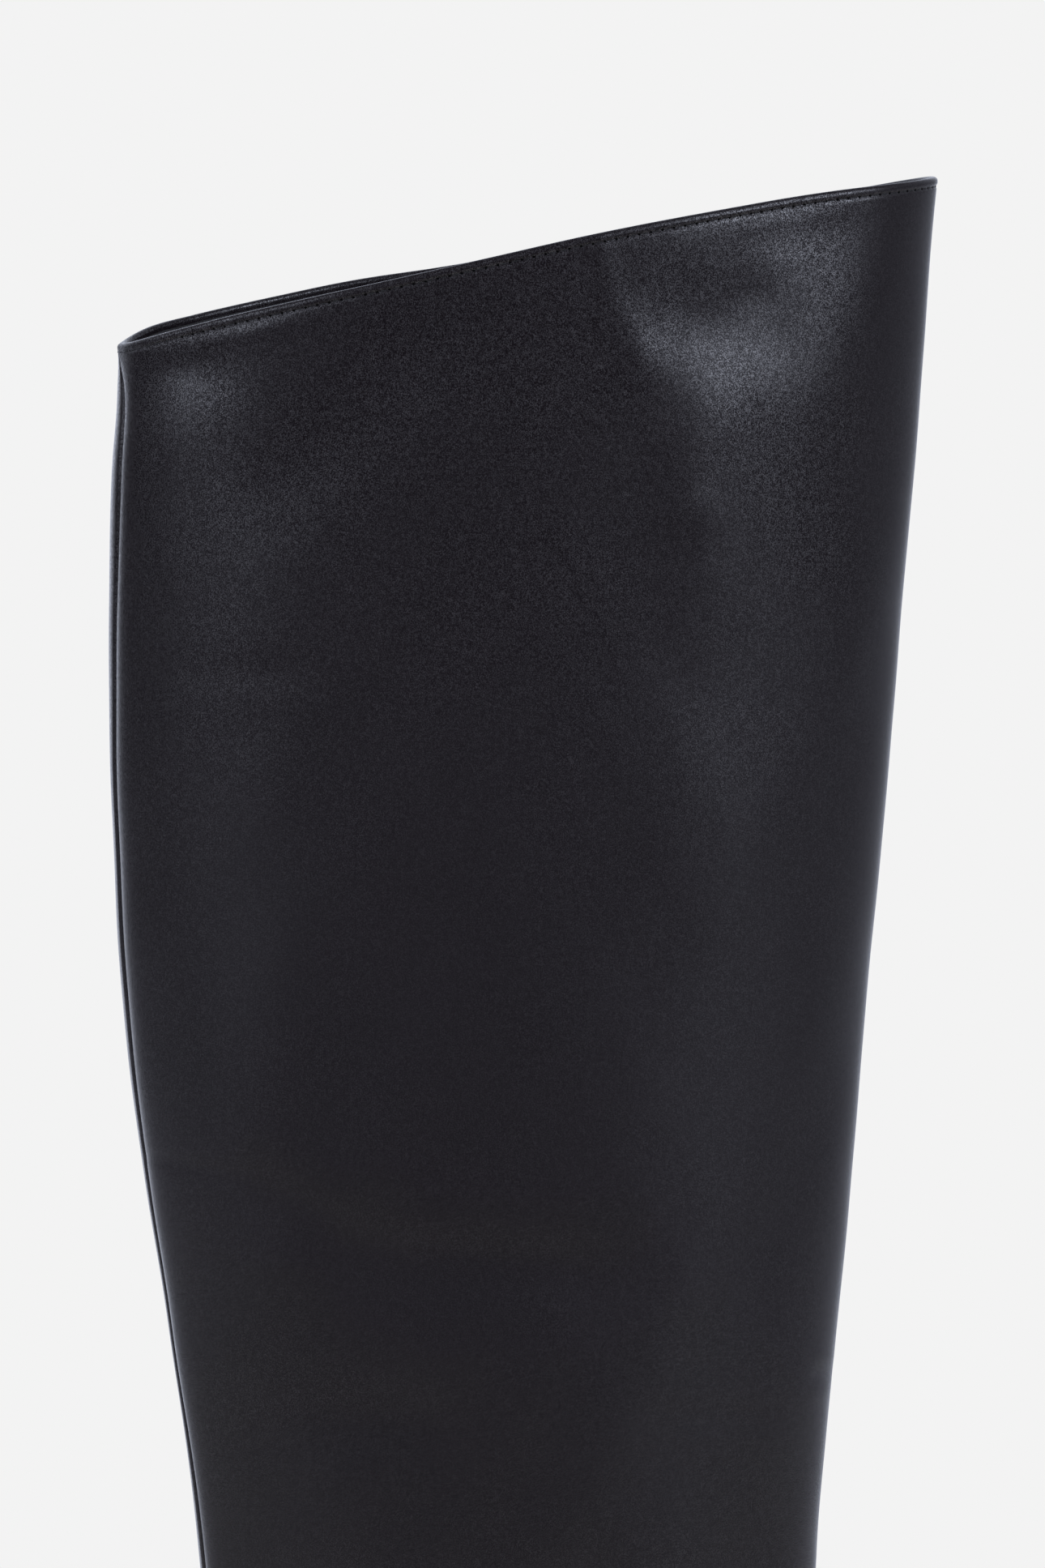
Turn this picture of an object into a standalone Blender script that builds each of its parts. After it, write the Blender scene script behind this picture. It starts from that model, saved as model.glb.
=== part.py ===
"""A tall pull-on boot for the right foot, standing on its sole with its toe along +X and its outer side at -Y.

The wide shaft has a slanted topline, higher in front, and a closed seam down the back. Tables and driving
dimensions are in millimetres, with x counted forward from the back end of the topline and z up from the
floor. The finished pieces are in metres, centred over the origin.
"""

import math
from typing import NamedTuple

import bpy
import bmesh
import numpy as np

MM = 0.001

# Driving dimensions of the boot
HEEL_HEIGHT = 35.0
HEEL_SEAT_DROP = 3.0
TOE_SPRING = 10.0
SOLE_THICKNESS = 4.5
INSOLE_THICKNESS = 2.5
UPPER_WALL = 2.0
TOP_PIECE_THICKNESS = 6.0
FIT_GAP = 0.3

# The foot's length, marked where the sole's underside changes course
HEEL_BACK_X = 17.3
HEEL_BREAST_X = 74.0
TREAD_BACK_X = 184.0
TREAD_FRONT_X = 228.0
TOE_TIP_X = 278.6

# How far the outsole and the insole reach beyond the feather line, where the upper meets the sole
SOLE_MARGIN = 3.2
INSOLE_MARGIN = -3.7

# The heel stands in from the sole's edge, leans forward at the back and narrows towards the floor
HEEL_INSET = 0.8
HEEL_PITCH = 6.0
HEEL_BREAST_PITCH = 3.0
HEEL_NARROWING = 0.12

# The foot bends towards the big toe from here on
BEND_START_X = 100.0
BEND_AT_TOE = 6.0

# Widths of the sole at three stations, as shares of its length, on the outer and inner side
HEEL_STATION = 0.12
WAIST_STATION = 0.42
BALL_STATION_OUTER = 0.66
BALL_STATION_INNER = 0.73
INNER_ARCH_CUT = 3.5

# The back seam: two rolled edges with a groove between them, flattened near the topline
SEAM_GROOVE_DEPTH = 1.9
SEAM_GROOVE_WIDTH = 1.3
SEAM_ROLL_HEIGHT = 0.8
SEAM_ROLL_OFFSET = 3.4
SEAM_ROLL_WIDTH = 2.6
SEAM_FLAT_SHARE = 0.35
SEAM_FLAT_HEIGHT = 14.0

# How finely the skin of the upper, the sole and the heel are divided
SEAM_ANGLES_DEG = (0.0, 2.4, 5.2, 9.5, 15.5)
SIDE_DIVISIONS = 22
SHAFT_LEVELS = 17
SOLE_DIVISIONS = 48
HEEL_DIVISIONS = 14


class ToplineRise(NamedTuple):
    """How far the topline stands above the straight line from its back end to its front end."""

    share: float
    outer: float
    inner: float


TOPLINE = (
    ToplineRise(0.0, 0.0, 0.0),
    ToplineRise(0.04, 1.9, 2.0),
    ToplineRise(0.1, 3.1, 2.6),
    ToplineRise(0.2, 4.2, 2.7),
    ToplineRise(0.3, 4.8, 2.4),
    ToplineRise(0.42, 5.2, 1.0),
    ToplineRise(0.55, 5.5, 0.5),
    ToplineRise(0.7, 4.7, 0.2),
    ToplineRise(0.85, 2.9, 0.0),
    ToplineRise(1.0, 0.0, 0.0),
)


class Section(NamedTuple):
    """One closed loop round the boot, from its back point to its front point."""

    back_x: float
    back_z: float
    front_x: float
    front_z: float
    heel_half: float
    waist_half: float
    ball_half: float
    back_taper: float
    front_taper: float
    sole_share: float
    topline_share: float
    seam_shift: float


def cubic_between(x, x0, x1, z0, z1, slope0, slope1):
    """The cubic from (x0, z0) to (x1, z1) with those end slopes."""
    length = x1 - x0
    s = (x - x0) / length
    return (
        z0 * (2 * s**3 - 3 * s**2 + 1)
        + slope0 * length * (s**3 - 2 * s**2 + s)
        + z1 * (3 * s**2 - 2 * s**3)
        + slope1 * length * (s**3 - s**2)
    )


def sole_underside(x):
    """Height of the outsole's underside: heel seat, arch, flat tread and toe spring."""
    x = np.asarray(x, float)
    seat_slope = -HEEL_SEAT_DROP / (HEEL_BREAST_X - HEEL_BACK_X)
    breast_z = HEEL_HEIGHT - HEEL_SEAT_DROP
    seat = HEEL_HEIGHT + seat_slope * (x - HEEL_BACK_X)
    arch = cubic_between(x, HEEL_BREAST_X, TREAD_BACK_X, breast_z, 0.0, seat_slope, 0.0)
    spring = TOE_SPRING * ((x - TREAD_FRONT_X) / (TOE_TIP_X - TREAD_FRONT_X)) ** 2
    z = np.where(x < HEEL_BREAST_X, seat, arch)
    z = np.where(x > TREAD_BACK_X, 0.0, z)
    return np.where(x > TREAD_FRONT_X, spring, z)


def feather_height(x):
    """Height of the line where the upper's lower edge and the insole meet the outsole."""
    return sole_underside(x) + SOLE_THICKNESS + FIT_GAP


def feather_section():
    back_x, front_x = 19.5, 275.0
    return Section(
        back_x, float(feather_height(back_x)), front_x, float(feather_height(front_x)),
        27.5, 24.0, 38.5, 0.115, 0.38, 1.0, 0.0, 0.0,
    )


# From the feather line over counter and vamp to the ankle, then up the shaft to the topline
SECTIONS = (
    feather_section(),
    #       back x     z  front x     z  heel waist  ball  taper back front  sole  topline seam
    Section(17.4, 47.0, 277.5, 20.5, 30.0, 27.0, 41.0, 0.12, 0.37, 1.00, 0.0, 0.0),
    Section(16.5, 56.0, 276.0, 28.0, 31.0, 29.0, 41.5, 0.12, 0.37, 1.00, 0.0, 0.0),
    Section(16.4, 65.0, 269.5, 36.0, 31.2, 30.0, 40.5, 0.13, 0.40, 0.97, 0.0, 0.0),
    Section(17.0, 74.0, 257.0, 44.0, 31.2, 31.0, 39.0, 0.14, 0.43, 0.92, 0.0, 0.0),
    Section(18.2, 83.0, 240.0, 52.5, 31.2, 32.0, 37.5, 0.16, 0.46, 0.82, 0.0, 0.0),
    Section(19.7, 92.0, 220.0, 63.5, 31.5, 33.0, 36.5, 0.20, 0.49, 0.68, 0.0, 0.0),
    Section(21.0, 101.0, 200.0, 77.5, 32.0, 34.0, 36.0, 0.26, 0.51, 0.50, 0.0, 0.0),
    Section(22.0, 110.0, 182.0, 94.5, 33.0, 35.0, 36.0, 0.33, 0.53, 0.32, 0.0, 0.0),
    Section(22.4, 119.0, 168.0, 113.0, 34.5, 36.0, 36.5, 0.40, 0.53, 0.16, 0.0, 0.2),
    Section(22.3, 129.0, 159.2, 133.0, 36.0, 37.0, 37.2, 0.45, 0.52, 0.05, 0.0, 0.4),
    Section(21.6, 140.0, 155.4, 152.0, 37.5, 38.0, 38.0, 0.48, 0.52, 0.0, 0.0, 0.7),
    Section(20.0, 156.0, 155.9, 171.5, 39.5, 39.5, 39.5, 0.48, 0.52, 0.0, 0.0, 1.0),
    Section(16.5, 190.0, 159.5, 212.0, 41.0, 41.0, 41.0, 0.48, 0.52, 0.0, 0.0, 1.3),
    Section(11.45, 225.0, 163.3, 252.0, 42.0, 42.0, 42.0, 0.48, 0.52, 0.0, 0.0, 1.6),
    Section(5.5, 262.0, 166.75, 292.0, 43.0, 43.0, 43.0, 0.48, 0.52, 0.0, 0.0, 2.0),
    Section(1.2, 300.0, 170.55, 333.0, 43.0, 43.0, 43.0, 0.48, 0.52, 0.0, 0.0, 2.5),
    Section(-1.05, 340.0, 174.3, 375.0, 42.5, 42.5, 42.5, 0.48, 0.52, 0.0, 0.0, 3.0),
    Section(-1.7, 380.0, 177.7, 416.0, 41.0, 41.0, 41.0, 0.48, 0.52, 0.0, 0.2, 3.5),
    Section(-0.8, 415.0, 180.7, 452.5, 39.5, 39.5, 39.5, 0.48, 0.52, 0.0, 0.6, 4.2),
    Section(0.35, 431.0, 181.95, 468.4, 38.6, 38.6, 38.6, 0.48, 0.52, 0.0, 0.82, 4.0),
    Section(-0.1, 442.0, 183.0, 479.6, 38.0, 38.0, 38.0, 0.48, 0.52, 0.0, 1.0, 3.6),
)
INSTEP_ROW = 4
ANKLE_ROW = 12
TABLE = np.array(SECTIONS)
COLUMN = {name: i for i, name in enumerate(Section._fields)}


def level_knots():
    """Distance climbed from the feather line to each section, halfway between back and front."""
    back = np.hypot(np.diff(TABLE[:, COLUMN["back_x"]]), np.diff(TABLE[:, COLUMN["back_z"]]))
    front = np.hypot(np.diff(TABLE[:, COLUMN["front_x"]]), np.diff(TABLE[:, COLUMN["front_z"]]))
    return np.concatenate([[0.0], np.cumsum((back + front) / 2)])


def smooth_through(knots, rows, at):
    """The rows' columns at positions between the knots, on smooth curves through every row."""
    slopes = np.gradient(rows, knots, axis=0)
    at = np.clip(np.asarray(at, float), knots[0], knots[-1])
    row = np.clip(np.searchsorted(knots, at, side="right") - 1, 0, len(knots) - 2)
    step = (knots[row + 1] - knots[row])[..., None]
    s = (at - knots[row])[..., None] / step
    return (
        rows[row] * (2 * s**3 - 3 * s**2 + 1)
        + slopes[row] * step * (s**3 - 2 * s**2 + s)
        + rows[row + 1] * (3 * s**2 - 2 * s**3)
        + slopes[row + 1] * step * (s**3 - s**2)
    )


KNOTS = level_knots()


def section_at(level):
    """The section at a distance climbed from the feather line."""
    return Section(*np.moveaxis(smooth_through(KNOTS, TABLE, level), -1, 0))


def topline_rise(t, outer):
    """The rise of the topline at a share t of its length, on the outer or the inner side."""
    rows = np.array(TOPLINE)
    rise = smooth_through(rows[:, 0], rows[:, 1:], t)
    return np.where(outer, rise[..., 0], rise[..., 1])


def eased(x, x0, x1):
    """0 before x0, 1 after x1, with a soft start and end."""
    s = np.clip((x - x0) / (x1 - x0), 0.0, 1.0)
    return s * s * (3 - 2 * s)


def rounded_end(distance, length):
    """A quarter ellipse: 0 at the end of a loop, 1 from that length on."""
    s = 1 - np.clip(distance / length, 0.0, 1.0)
    return np.sqrt(np.maximum(1 - s * s, 0.0))


def half_width(section, t, outer):
    """Half the loop's width at a share t of its length, on the outer or the inner side."""
    ball_station = np.where(outer, BALL_STATION_OUTER, BALL_STATION_INNER)
    to_waist = eased(t, HEEL_STATION, WAIST_STATION)
    to_ball = eased(t, WAIST_STATION, ball_station)
    waist = section.waist_half - np.where(outer, 0.0, INNER_ARCH_CUT * section.sole_share)
    middle = section.heel_half + (waist - section.heel_half) * to_waist
    middle = middle + (section.ball_half - waist) * to_ball
    return middle * rounded_end(t, section.back_taper) * rounded_end(1 - t, section.front_taper)


def foot_axis(x):
    """How far the middle of the foot bends towards the inner side."""
    s = np.maximum((x - BEND_START_X) / (TOE_TIP_X - BEND_START_X), 0.0)
    return BEND_AT_TOE * s * s


def smooth_skin(angle, level):
    """A point of the upper's outer face without its seam. Angle 0 is the seam, pi the front."""
    section = section_at(level)
    shift = section.seam_shift / section.heel_half
    turn = angle + shift * (1 - np.abs(angle) / math.pi)
    t = (1 - np.cos(turn)) / 2
    outer = np.sin(turn) >= 0
    x = section.back_x + (section.front_x - section.back_x) * t
    side = half_width(section, t, outer) * np.where(outer, -1.0, 1.0)
    y = foot_axis(x) * section.sole_share + side
    chord = section.back_z + (section.front_z - section.back_z) * t
    sole_back, sole_front = feather_height(section.back_x), feather_height(section.front_x)
    sole_bow = feather_height(x) - sole_back - (sole_front - sole_back) * t
    z = chord + section.sole_share * sole_bow + section.topline_share * topline_rise(t, outer)
    return np.stack([x, y, z], axis=-1)


def skin_normal(angle, level):
    """Outward direction of the upper's outer face."""
    small_angle, small_level = 1e-3, 0.2
    low = np.maximum(level - small_level, KNOTS[0])
    high = np.minimum(level + small_level, KNOTS[-1])
    around = smooth_skin(angle + small_angle, level) - smooth_skin(angle - small_angle, level)
    up = smooth_skin(angle, high) - smooth_skin(angle, low)
    normal = np.cross(around, up)
    return normal / np.linalg.norm(normal, axis=-1, keepdims=True)


def seam_relief(angle, level):
    """Height of the seam's rolled edges and depth of its groove, across the back."""
    across = np.abs(angle) * section_at(level).heel_half
    roll = SEAM_ROLL_HEIGHT * np.exp(-(((across - SEAM_ROLL_OFFSET) / SEAM_ROLL_WIDTH) ** 2))
    groove = SEAM_GROOVE_DEPTH * np.exp(-((across / SEAM_GROOVE_WIDTH) ** 2))
    below_topline = KNOTS[-1] - level
    flatten = SEAM_FLAT_SHARE + (1 - SEAM_FLAT_SHARE) * eased(below_topline, 0.0, SEAM_FLAT_HEIGHT)
    return (roll - groove) * flatten


def upper_skin(angle, level):
    relief = seam_relief(angle, level)[..., None]
    return smooth_skin(angle, level) + skin_normal(angle, level) * relief


def skin_angles():
    """Angles round the upper, closer together beside the back seam."""
    seam = np.radians(SEAM_ANGLES_DEG)
    side = np.linspace(seam[-1], math.pi, SIDE_DIVISIONS + 1)
    half = np.concatenate([seam[:-1], side])
    return np.concatenate([half, -half[-2:0:-1]])


def skin_levels():
    """Climbed distances of the skin's rings: the foot's sections, twice as many over the instep, the shaft."""
    foot = KNOTS[:INSTEP_ROW]
    instep = np.interp(np.arange(INSTEP_ROW, ANKLE_ROW, 0.5), np.arange(len(KNOTS)), KNOTS)
    shaft = np.linspace(KNOTS[ANKLE_ROW], KNOTS[-1], SHAFT_LEVELS)
    return np.concatenate([foot, instep, shaft])


def ring_faces(rings, count):
    """Quads between consecutive closed rings of count points each."""
    faces = []
    for ring in range(rings - 1):
        for i in range(count):
            j = (i + 1) % count
            a, b = ring * count, (ring + 1) * count
            faces.append((a + i, a + j, b + j, b + i))
    return faces


def make_upper():
    angles, levels = skin_angles(), skin_levels()
    grid_angle, grid_level = np.meshgrid(angles, levels)
    points = upper_skin(grid_angle, grid_level).reshape(-1, 3)
    return points, ring_faces(len(levels), len(angles))


def grown(section, margin):
    """The section's outline moved outwards by a margin."""
    return section._replace(
        back_x=section.back_x - margin,
        front_x=section.front_x + margin,
        heel_half=section.heel_half + margin,
        waist_half=section.waist_half + margin,
        ball_half=section.ball_half + margin,
    )


def outline_sides(section, share):
    """Points (x, outer y, inner y) of a flat outline at shares of its length."""
    x = section.back_x + (section.front_x - section.back_x) * share
    axis = foot_axis(x)
    outer = axis - half_width(section, share, True)
    inner = axis + half_width(section, share, False)
    return x, outer, inner


def strip_solid(layers):
    """A closed solid from layers of (x, outer y, inner y, z) rows, lowest layer first.

    Each layer's rim runs up the outer side and back down the inner side. The lowest and the highest
    layer are closed by strips across, so a curved sole keeps its bend.
    """
    points, rims = [], []
    for x, outer, inner, z in layers:
        pointed_back = abs(inner[0] - outer[0]) < 1e-6
        pointed_front = abs(inner[-1] - outer[-1]) < 1e-6
        base = len(points)
        points += list(zip(x, outer, z))
        inner_rows = range(len(x) - 1 - pointed_front, pointed_back - 1, -1)
        points += [(x[i], inner[i], z[i]) for i in inner_rows]
        rims.append(list(range(base, len(points))))
    outer_count = len(layers[0][0])
    faces = []
    for low, high in zip(rims, rims[1:]):
        for i in range(len(low)):
            j = (i + 1) % len(low)
            faces.append((low[i], low[j], high[j], high[i]))
    for rim in (rims[0], rims[-1]):
        outer_row = rim[:outer_count]
        inner_row = rim[outer_count:][::-1]
        if len(inner_row) < outer_count:
            inner_row = [outer_row[0]] + inner_row
        if len(inner_row) < outer_count:
            inner_row = inner_row + [outer_row[-1]]
        for i in range(outer_count - 1):
            corners = (outer_row[i], outer_row[i + 1], inner_row[i + 1], inner_row[i])
            faces.append(tuple(dict.fromkeys(corners)))
    return np.array(points), faces


def end_crowded_shares(count, last=1.0):
    """Shares of a length, closer together towards rounded ends."""
    turn = np.linspace(0.0, math.acos(1 - 2 * last), count)
    return (1 - np.cos(turn)) / 2


# The outsole's side: height as a share of its thickness, and how far the edge stands in there
SOLE_EDGE = ((0.0, 1.1), (0.18, 0.2), (0.55, 0.0), (0.62, 0.45), (0.7, 0.45), (0.77, 0.0), (1.0, 0.3))


def make_outsole():
    share = end_crowded_shares(SOLE_DIVISIONS)
    layers = []
    for height, inset in SOLE_EDGE:
        outline = grown(SECTIONS[0], SOLE_MARGIN - inset)
        x, outer, inner = outline_sides(outline, share)
        layers.append((x, outer, inner, sole_underside(x) + height * SOLE_THICKNESS))
    return strip_solid(layers)


def make_insole():
    share = end_crowded_shares(SOLE_DIVISIONS)
    x, outer, inner = outline_sides(grown(SECTIONS[0], INSOLE_MARGIN), share)
    bottom = feather_height(x)
    return strip_solid([(x, outer, inner, bottom), (x, outer, inner, bottom + INSOLE_THICKNESS)])


def heel_rows(height):
    """The heel's outline where it has climbed this share of its height: (x, outer y, inner y)."""
    outline = grown(SECTIONS[0], SOLE_MARGIN - HEEL_INSET)
    length = outline.front_x - outline.back_x
    share = end_crowded_shares(HEEL_DIVISIONS, (HEEL_BREAST_X - outline.back_x) / length)
    x, outer, inner = outline_sides(outline, share)
    along = (x - x[0]) / (x[-1] - x[0])
    pitch = HEEL_PITCH * (1 - along) - HEEL_BREAST_PITCH * along
    narrow = 1 - HEEL_NARROWING * (1 - height)
    return x + pitch * (1 - height), outer * narrow, inner * narrow


# The heel block's sides from bottom to top, as shares of its height
HEEL_BLOCK_HEIGHTS = (0.0, 0.3, 0.6, 0.85, 1.0)


def make_heel_block():
    floor_z = TOP_PIECE_THICKNESS + FIT_GAP
    bottom_share = floor_z / HEEL_HEIGHT
    layers = []
    for share in HEEL_BLOCK_HEIGHTS:
        x, outer, inner = heel_rows(bottom_share + (1 - bottom_share) * share)
        top_z = sole_underside(x) - FIT_GAP
        layers.append((x, outer, inner, floor_z + (top_z - floor_z) * share))
    return strip_solid(layers)


# The top piece's edge, as height in millimetres and how far it stands in
TOP_PIECE_EDGE = ((0.0, 0.7), (0.7, 0.0), (TOP_PIECE_THICKNESS, 0.0))


def make_heel_top_piece():
    layers = []
    for z, inset in TOP_PIECE_EDGE:
        x, outer, inner = heel_rows(z / HEEL_HEIGHT)
        centre_x = (x[0] + x[-1]) / 2
        x = x + inset * np.sign(centre_x - x)
        shrink = 1 - inset / np.max(inner)
        layers.append((x, outer * shrink, inner * shrink, np.full_like(x, z)))
    return strip_solid(layers)


class Finish(NamedTuple):
    colour: tuple
    roughness: float


FINISHES = {
    "black_leather": Finish((0.012, 0.012, 0.014), 0.42),
    "sock_leather": Finish((0.02, 0.018, 0.017), 0.7),
    "sole_leather": Finish((0.016, 0.015, 0.015), 0.5),
    "heel_stack": Finish((0.013, 0.012, 0.012), 0.4),
    "heel_rubber": Finish((0.018, 0.018, 0.018), 0.8),
}


def finish_material(name):
    finish = FINISHES[name]
    material = bpy.data.materials.new(name)
    material.use_nodes = True
    shader = material.node_tree.nodes["Principled BSDF"]
    shader.inputs["Base Color"].default_value = (*finish.colour, 1.0)
    shader.inputs["Roughness"].default_value = finish.roughness
    shader.inputs["Metallic"].default_value = 0.0
    return material


def add_piece(name, points, faces, finish, parent, centre):
    """One named object from a piece's points in millimetres, moved to the boot's centre."""
    mesh = bpy.data.meshes.new(name)
    mesh.from_pydata([tuple((p - centre) * MM) for p in points], [], faces)
    shape = bmesh.new()
    shape.from_mesh(mesh)
    bmesh.ops.recalc_face_normals(shape, faces=shape.faces)
    shape.to_mesh(mesh)
    shape.free()
    mesh.shade_smooth()
    mesh.set_sharp_from_angle(angle=math.radians(40))
    mesh.materials.append(finish_material(finish))
    piece = bpy.data.objects.new(name, mesh)
    bpy.context.scene.collection.objects.link(piece)
    piece.parent = parent
    return piece


def give_wall(piece):
    """Turns the upper's skin into a wall, with its thickness on the inside."""
    wall = piece.modifiers.new("wall", "SOLIDIFY")
    wall.thickness = UPPER_WALL * MM
    wall.offset = -1.0
    wall.use_even_offset = True
    wall.use_rim = True


def main():
    for old in list(bpy.data.objects):
        bpy.data.objects.remove(old)
    shapes = {
        "upper": (*make_upper(), "black_leather"),
        "insole": (*make_insole(), "sock_leather"),
        "outsole": (*make_outsole(), "sole_leather"),
        "heel_block": (*make_heel_block(), "heel_stack"),
        "heel_top_piece": (*make_heel_top_piece(), "heel_rubber"),
    }
    every_point = np.concatenate([points for points, _, _ in shapes.values()])
    centre = (every_point.min(axis=0) + every_point.max(axis=0)) / 2
    centre[2] = 0.0
    boot = bpy.data.objects.new("boot", None)
    bpy.context.scene.collection.objects.link(boot)
    for name, (points, faces, finish) in shapes.items():
        piece = add_piece(name, points, faces, finish, boot, centre)
        if name == "upper":
            give_wall(piece)


main()
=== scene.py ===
# %% [markdown]
# # A tall black leather boot
#
# The boot's solid parts come from its CAD frame. This lesson gives it its looks: a leather skin with soft
# folds, a turned and stitched topline, a lining, a sole and a heel, then the camera and the light. All
# tables are in millimetres, with x counted forward from the back end of the topline and z up from the floor.

import math
from typing import NamedTuple

import bpy
import numpy as np
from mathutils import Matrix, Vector


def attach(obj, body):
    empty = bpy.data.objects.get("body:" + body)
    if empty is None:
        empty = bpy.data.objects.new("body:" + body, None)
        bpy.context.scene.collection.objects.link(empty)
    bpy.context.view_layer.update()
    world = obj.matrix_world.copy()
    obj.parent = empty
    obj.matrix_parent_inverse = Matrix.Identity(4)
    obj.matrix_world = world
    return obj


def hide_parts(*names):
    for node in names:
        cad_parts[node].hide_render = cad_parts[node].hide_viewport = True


MM = 0.001
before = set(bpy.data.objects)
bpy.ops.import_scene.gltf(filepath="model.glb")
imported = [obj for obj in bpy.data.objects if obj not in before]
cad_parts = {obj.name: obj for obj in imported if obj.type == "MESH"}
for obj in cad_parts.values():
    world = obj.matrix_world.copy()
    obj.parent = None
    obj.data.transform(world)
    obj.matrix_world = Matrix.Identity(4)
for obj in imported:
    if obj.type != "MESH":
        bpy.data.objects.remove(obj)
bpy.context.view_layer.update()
scene = bpy.context.scene


print("CAD nodes:", ", ".join(sorted(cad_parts)))

# %% [markdown]
# ## The boot's shape
#
# A real upper is cut from flat leather and pulled over a last. Here it could be sculpted, or lofted from
# curve objects. A table of closed loops was chosen, because each number can be measured on a boot, and
# because leather, lining and sole then come from the same rows. A loop runs from a back point to a front
# point and has a width at the heel, the waist and the ball of the foot. The rows go from the feather line,
# where the upper meets the sole, up to the topline. Smooth curves through them give every loop in between.

# %% Driving sizes
# The CAD frame's origin, in the tables' millimetres
FRAME_ORIGIN = np.array([137.87, 0.04, 0.0])

HEEL_HEIGHT = 35.0
HEEL_SEAT_DROP = 3.0
TOE_SPRING = 10.0
SOLE_THICKNESS = 4.5
INSOLE_THICKNESS = 2.5
TOP_PIECE_THICKNESS = 6.0
FIT_GAP = 0.3

HEEL_BACK_X = 17.3
HEEL_BREAST_X = 74.0
TREAD_BACK_X = 184.0
TREAD_FRONT_X = 228.0
TOE_TIP_X = 278.6

SOLE_MARGIN = 3.2
INSOLE_MARGIN = -2.4

HEEL_INSET = 0.8
HEEL_PITCH = 6.0
HEEL_BREAST_PITCH = 3.0
HEEL_NARROWING = 0.12

BEND_START_X = 100.0
BEND_AT_TOE = 6.0

HEEL_STATION = 0.12
WAIST_STATION = 0.42
BALL_STATION_OUTER = 0.66
BALL_STATION_INNER = 0.73
INNER_ARCH_CUT = 3.5
print("heel %.0f mm high, toe tip at x = %.1f mm" % (HEEL_HEIGHT, TOE_TIP_X))


# %% The topline's rise
class ToplineRise(NamedTuple):
    """How far the topline stands above the straight line from its back end to its front end."""

    share: float
    outer: float
    inner: float


TOPLINE = np.array([
    ToplineRise(0.0, 1.5, 1.5),
    ToplineRise(0.04, 2.6, 2.9),
    ToplineRise(0.1, 3.6, 3.2),
    ToplineRise(0.2, 4.4, 3.1),
    ToplineRise(0.3, 4.8, 2.8),
    ToplineRise(0.42, 5.2, 1.4),
    ToplineRise(0.55, 5.5, 0.5),
    ToplineRise(0.7, 4.7, 0.2),
    ToplineRise(0.85, 2.9, 0.0),
    ToplineRise(1.0, 0.0, 0.0),
])
print("topline up to %.1f mm above a straight line" % TOPLINE[:, 1:].max())


# %% Loops of the upper
class Section(NamedTuple):
    """One closed loop round the boot, from its back point to its front point."""

    back_x: float
    back_z: float
    front_x: float
    front_z: float
    heel_half: float
    waist_half: float
    ball_half: float
    back_taper: float
    front_taper: float
    sole_share: float
    topline_share: float
    seam_shift: float


SECTIONS = (
    #       back x     z  front x     z  heel waist  ball  taper back front  sole  topline seam
    Section(19.5, 39.684, 275.0, 13.262, 27.5, 24.0, 38.5, 0.115, 0.38, 1.0, 0.0, 0.0),
    Section(17.4, 47.0, 277.5, 20.5, 30.0, 27.0, 41.0, 0.12, 0.37, 1.00, 0.0, 0.0),
    Section(16.5, 56.0, 276.0, 28.0, 31.0, 29.0, 41.5, 0.12, 0.37, 1.00, 0.0, 0.0),
    Section(16.4, 65.0, 269.5, 36.0, 31.2, 30.0, 40.5, 0.13, 0.40, 0.97, 0.0, 0.0),
    Section(17.0, 74.0, 257.0, 44.0, 31.2, 31.0, 39.0, 0.14, 0.43, 0.92, 0.0, 0.0),
    Section(18.2, 83.0, 240.0, 52.5, 31.2, 32.0, 37.5, 0.16, 0.46, 0.82, 0.0, 0.0),
    Section(19.7, 92.0, 220.0, 63.5, 31.5, 33.0, 36.5, 0.20, 0.49, 0.68, 0.0, 0.0),
    Section(21.0, 101.0, 200.0, 77.5, 32.0, 34.0, 36.0, 0.26, 0.51, 0.50, 0.0, 0.0),
    Section(22.0, 110.0, 182.0, 94.5, 33.0, 35.0, 36.0, 0.33, 0.53, 0.32, 0.0, 0.0),
    Section(22.4, 119.0, 168.0, 113.0, 34.5, 36.0, 36.5, 0.40, 0.53, 0.16, 0.0, 1.4),
    Section(22.3, 129.0, 159.2, 133.0, 36.0, 37.0, 37.2, 0.45, 0.52, 0.05, 0.0, 2.2),
    Section(21.6, 140.0, 155.4, 152.0, 37.5, 38.0, 38.0, 0.48, 0.52, 0.0, 0.0, 3.2),
    Section(20.0, 156.0, 155.9, 171.5, 39.5, 39.5, 39.5, 0.48, 0.52, 0.0, 0.0, 4.2),
    Section(16.5, 190.0, 159.5, 212.0, 41.0, 41.0, 41.0, 0.48, 0.52, 0.0, 0.0, 5.2),
    Section(11.45, 225.0, 163.3, 252.0, 42.0, 42.0, 42.0, 0.48, 0.52, 0.0, 0.0, 3.4),
    Section(5.5, 262.0, 166.75, 292.0, 43.0, 43.0, 43.0, 0.48, 0.52, 0.0, 0.0, 2.9),
    Section(1.2, 300.0, 170.55, 333.0, 43.0, 43.0, 43.0, 0.48, 0.52, 0.0, 0.0, 3.0),
    Section(-1.05, 340.0, 174.3, 375.0, 42.5, 42.5, 42.5, 0.48, 0.52, 0.0, 0.0, 2.9),
    Section(-1.7, 380.0, 177.7, 416.0, 41.0, 41.0, 41.0, 0.48, 0.52, 0.0, 0.2, 4.0),
    Section(-0.8, 415.0, 180.7, 452.5, 39.5, 39.5, 39.5, 0.48, 0.52, 0.0, 0.6, 5.1),
    Section(0.35, 431.0, 181.95, 468.4, 38.6, 38.6, 38.6, 0.48, 0.52, 0.0, 0.82, 3.6),
    Section(-0.1, 442.0, 183.0, 479.6, 38.0, 38.0, 38.0, 0.48, 0.52, 0.0, 1.0, 0.6),
)
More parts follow.
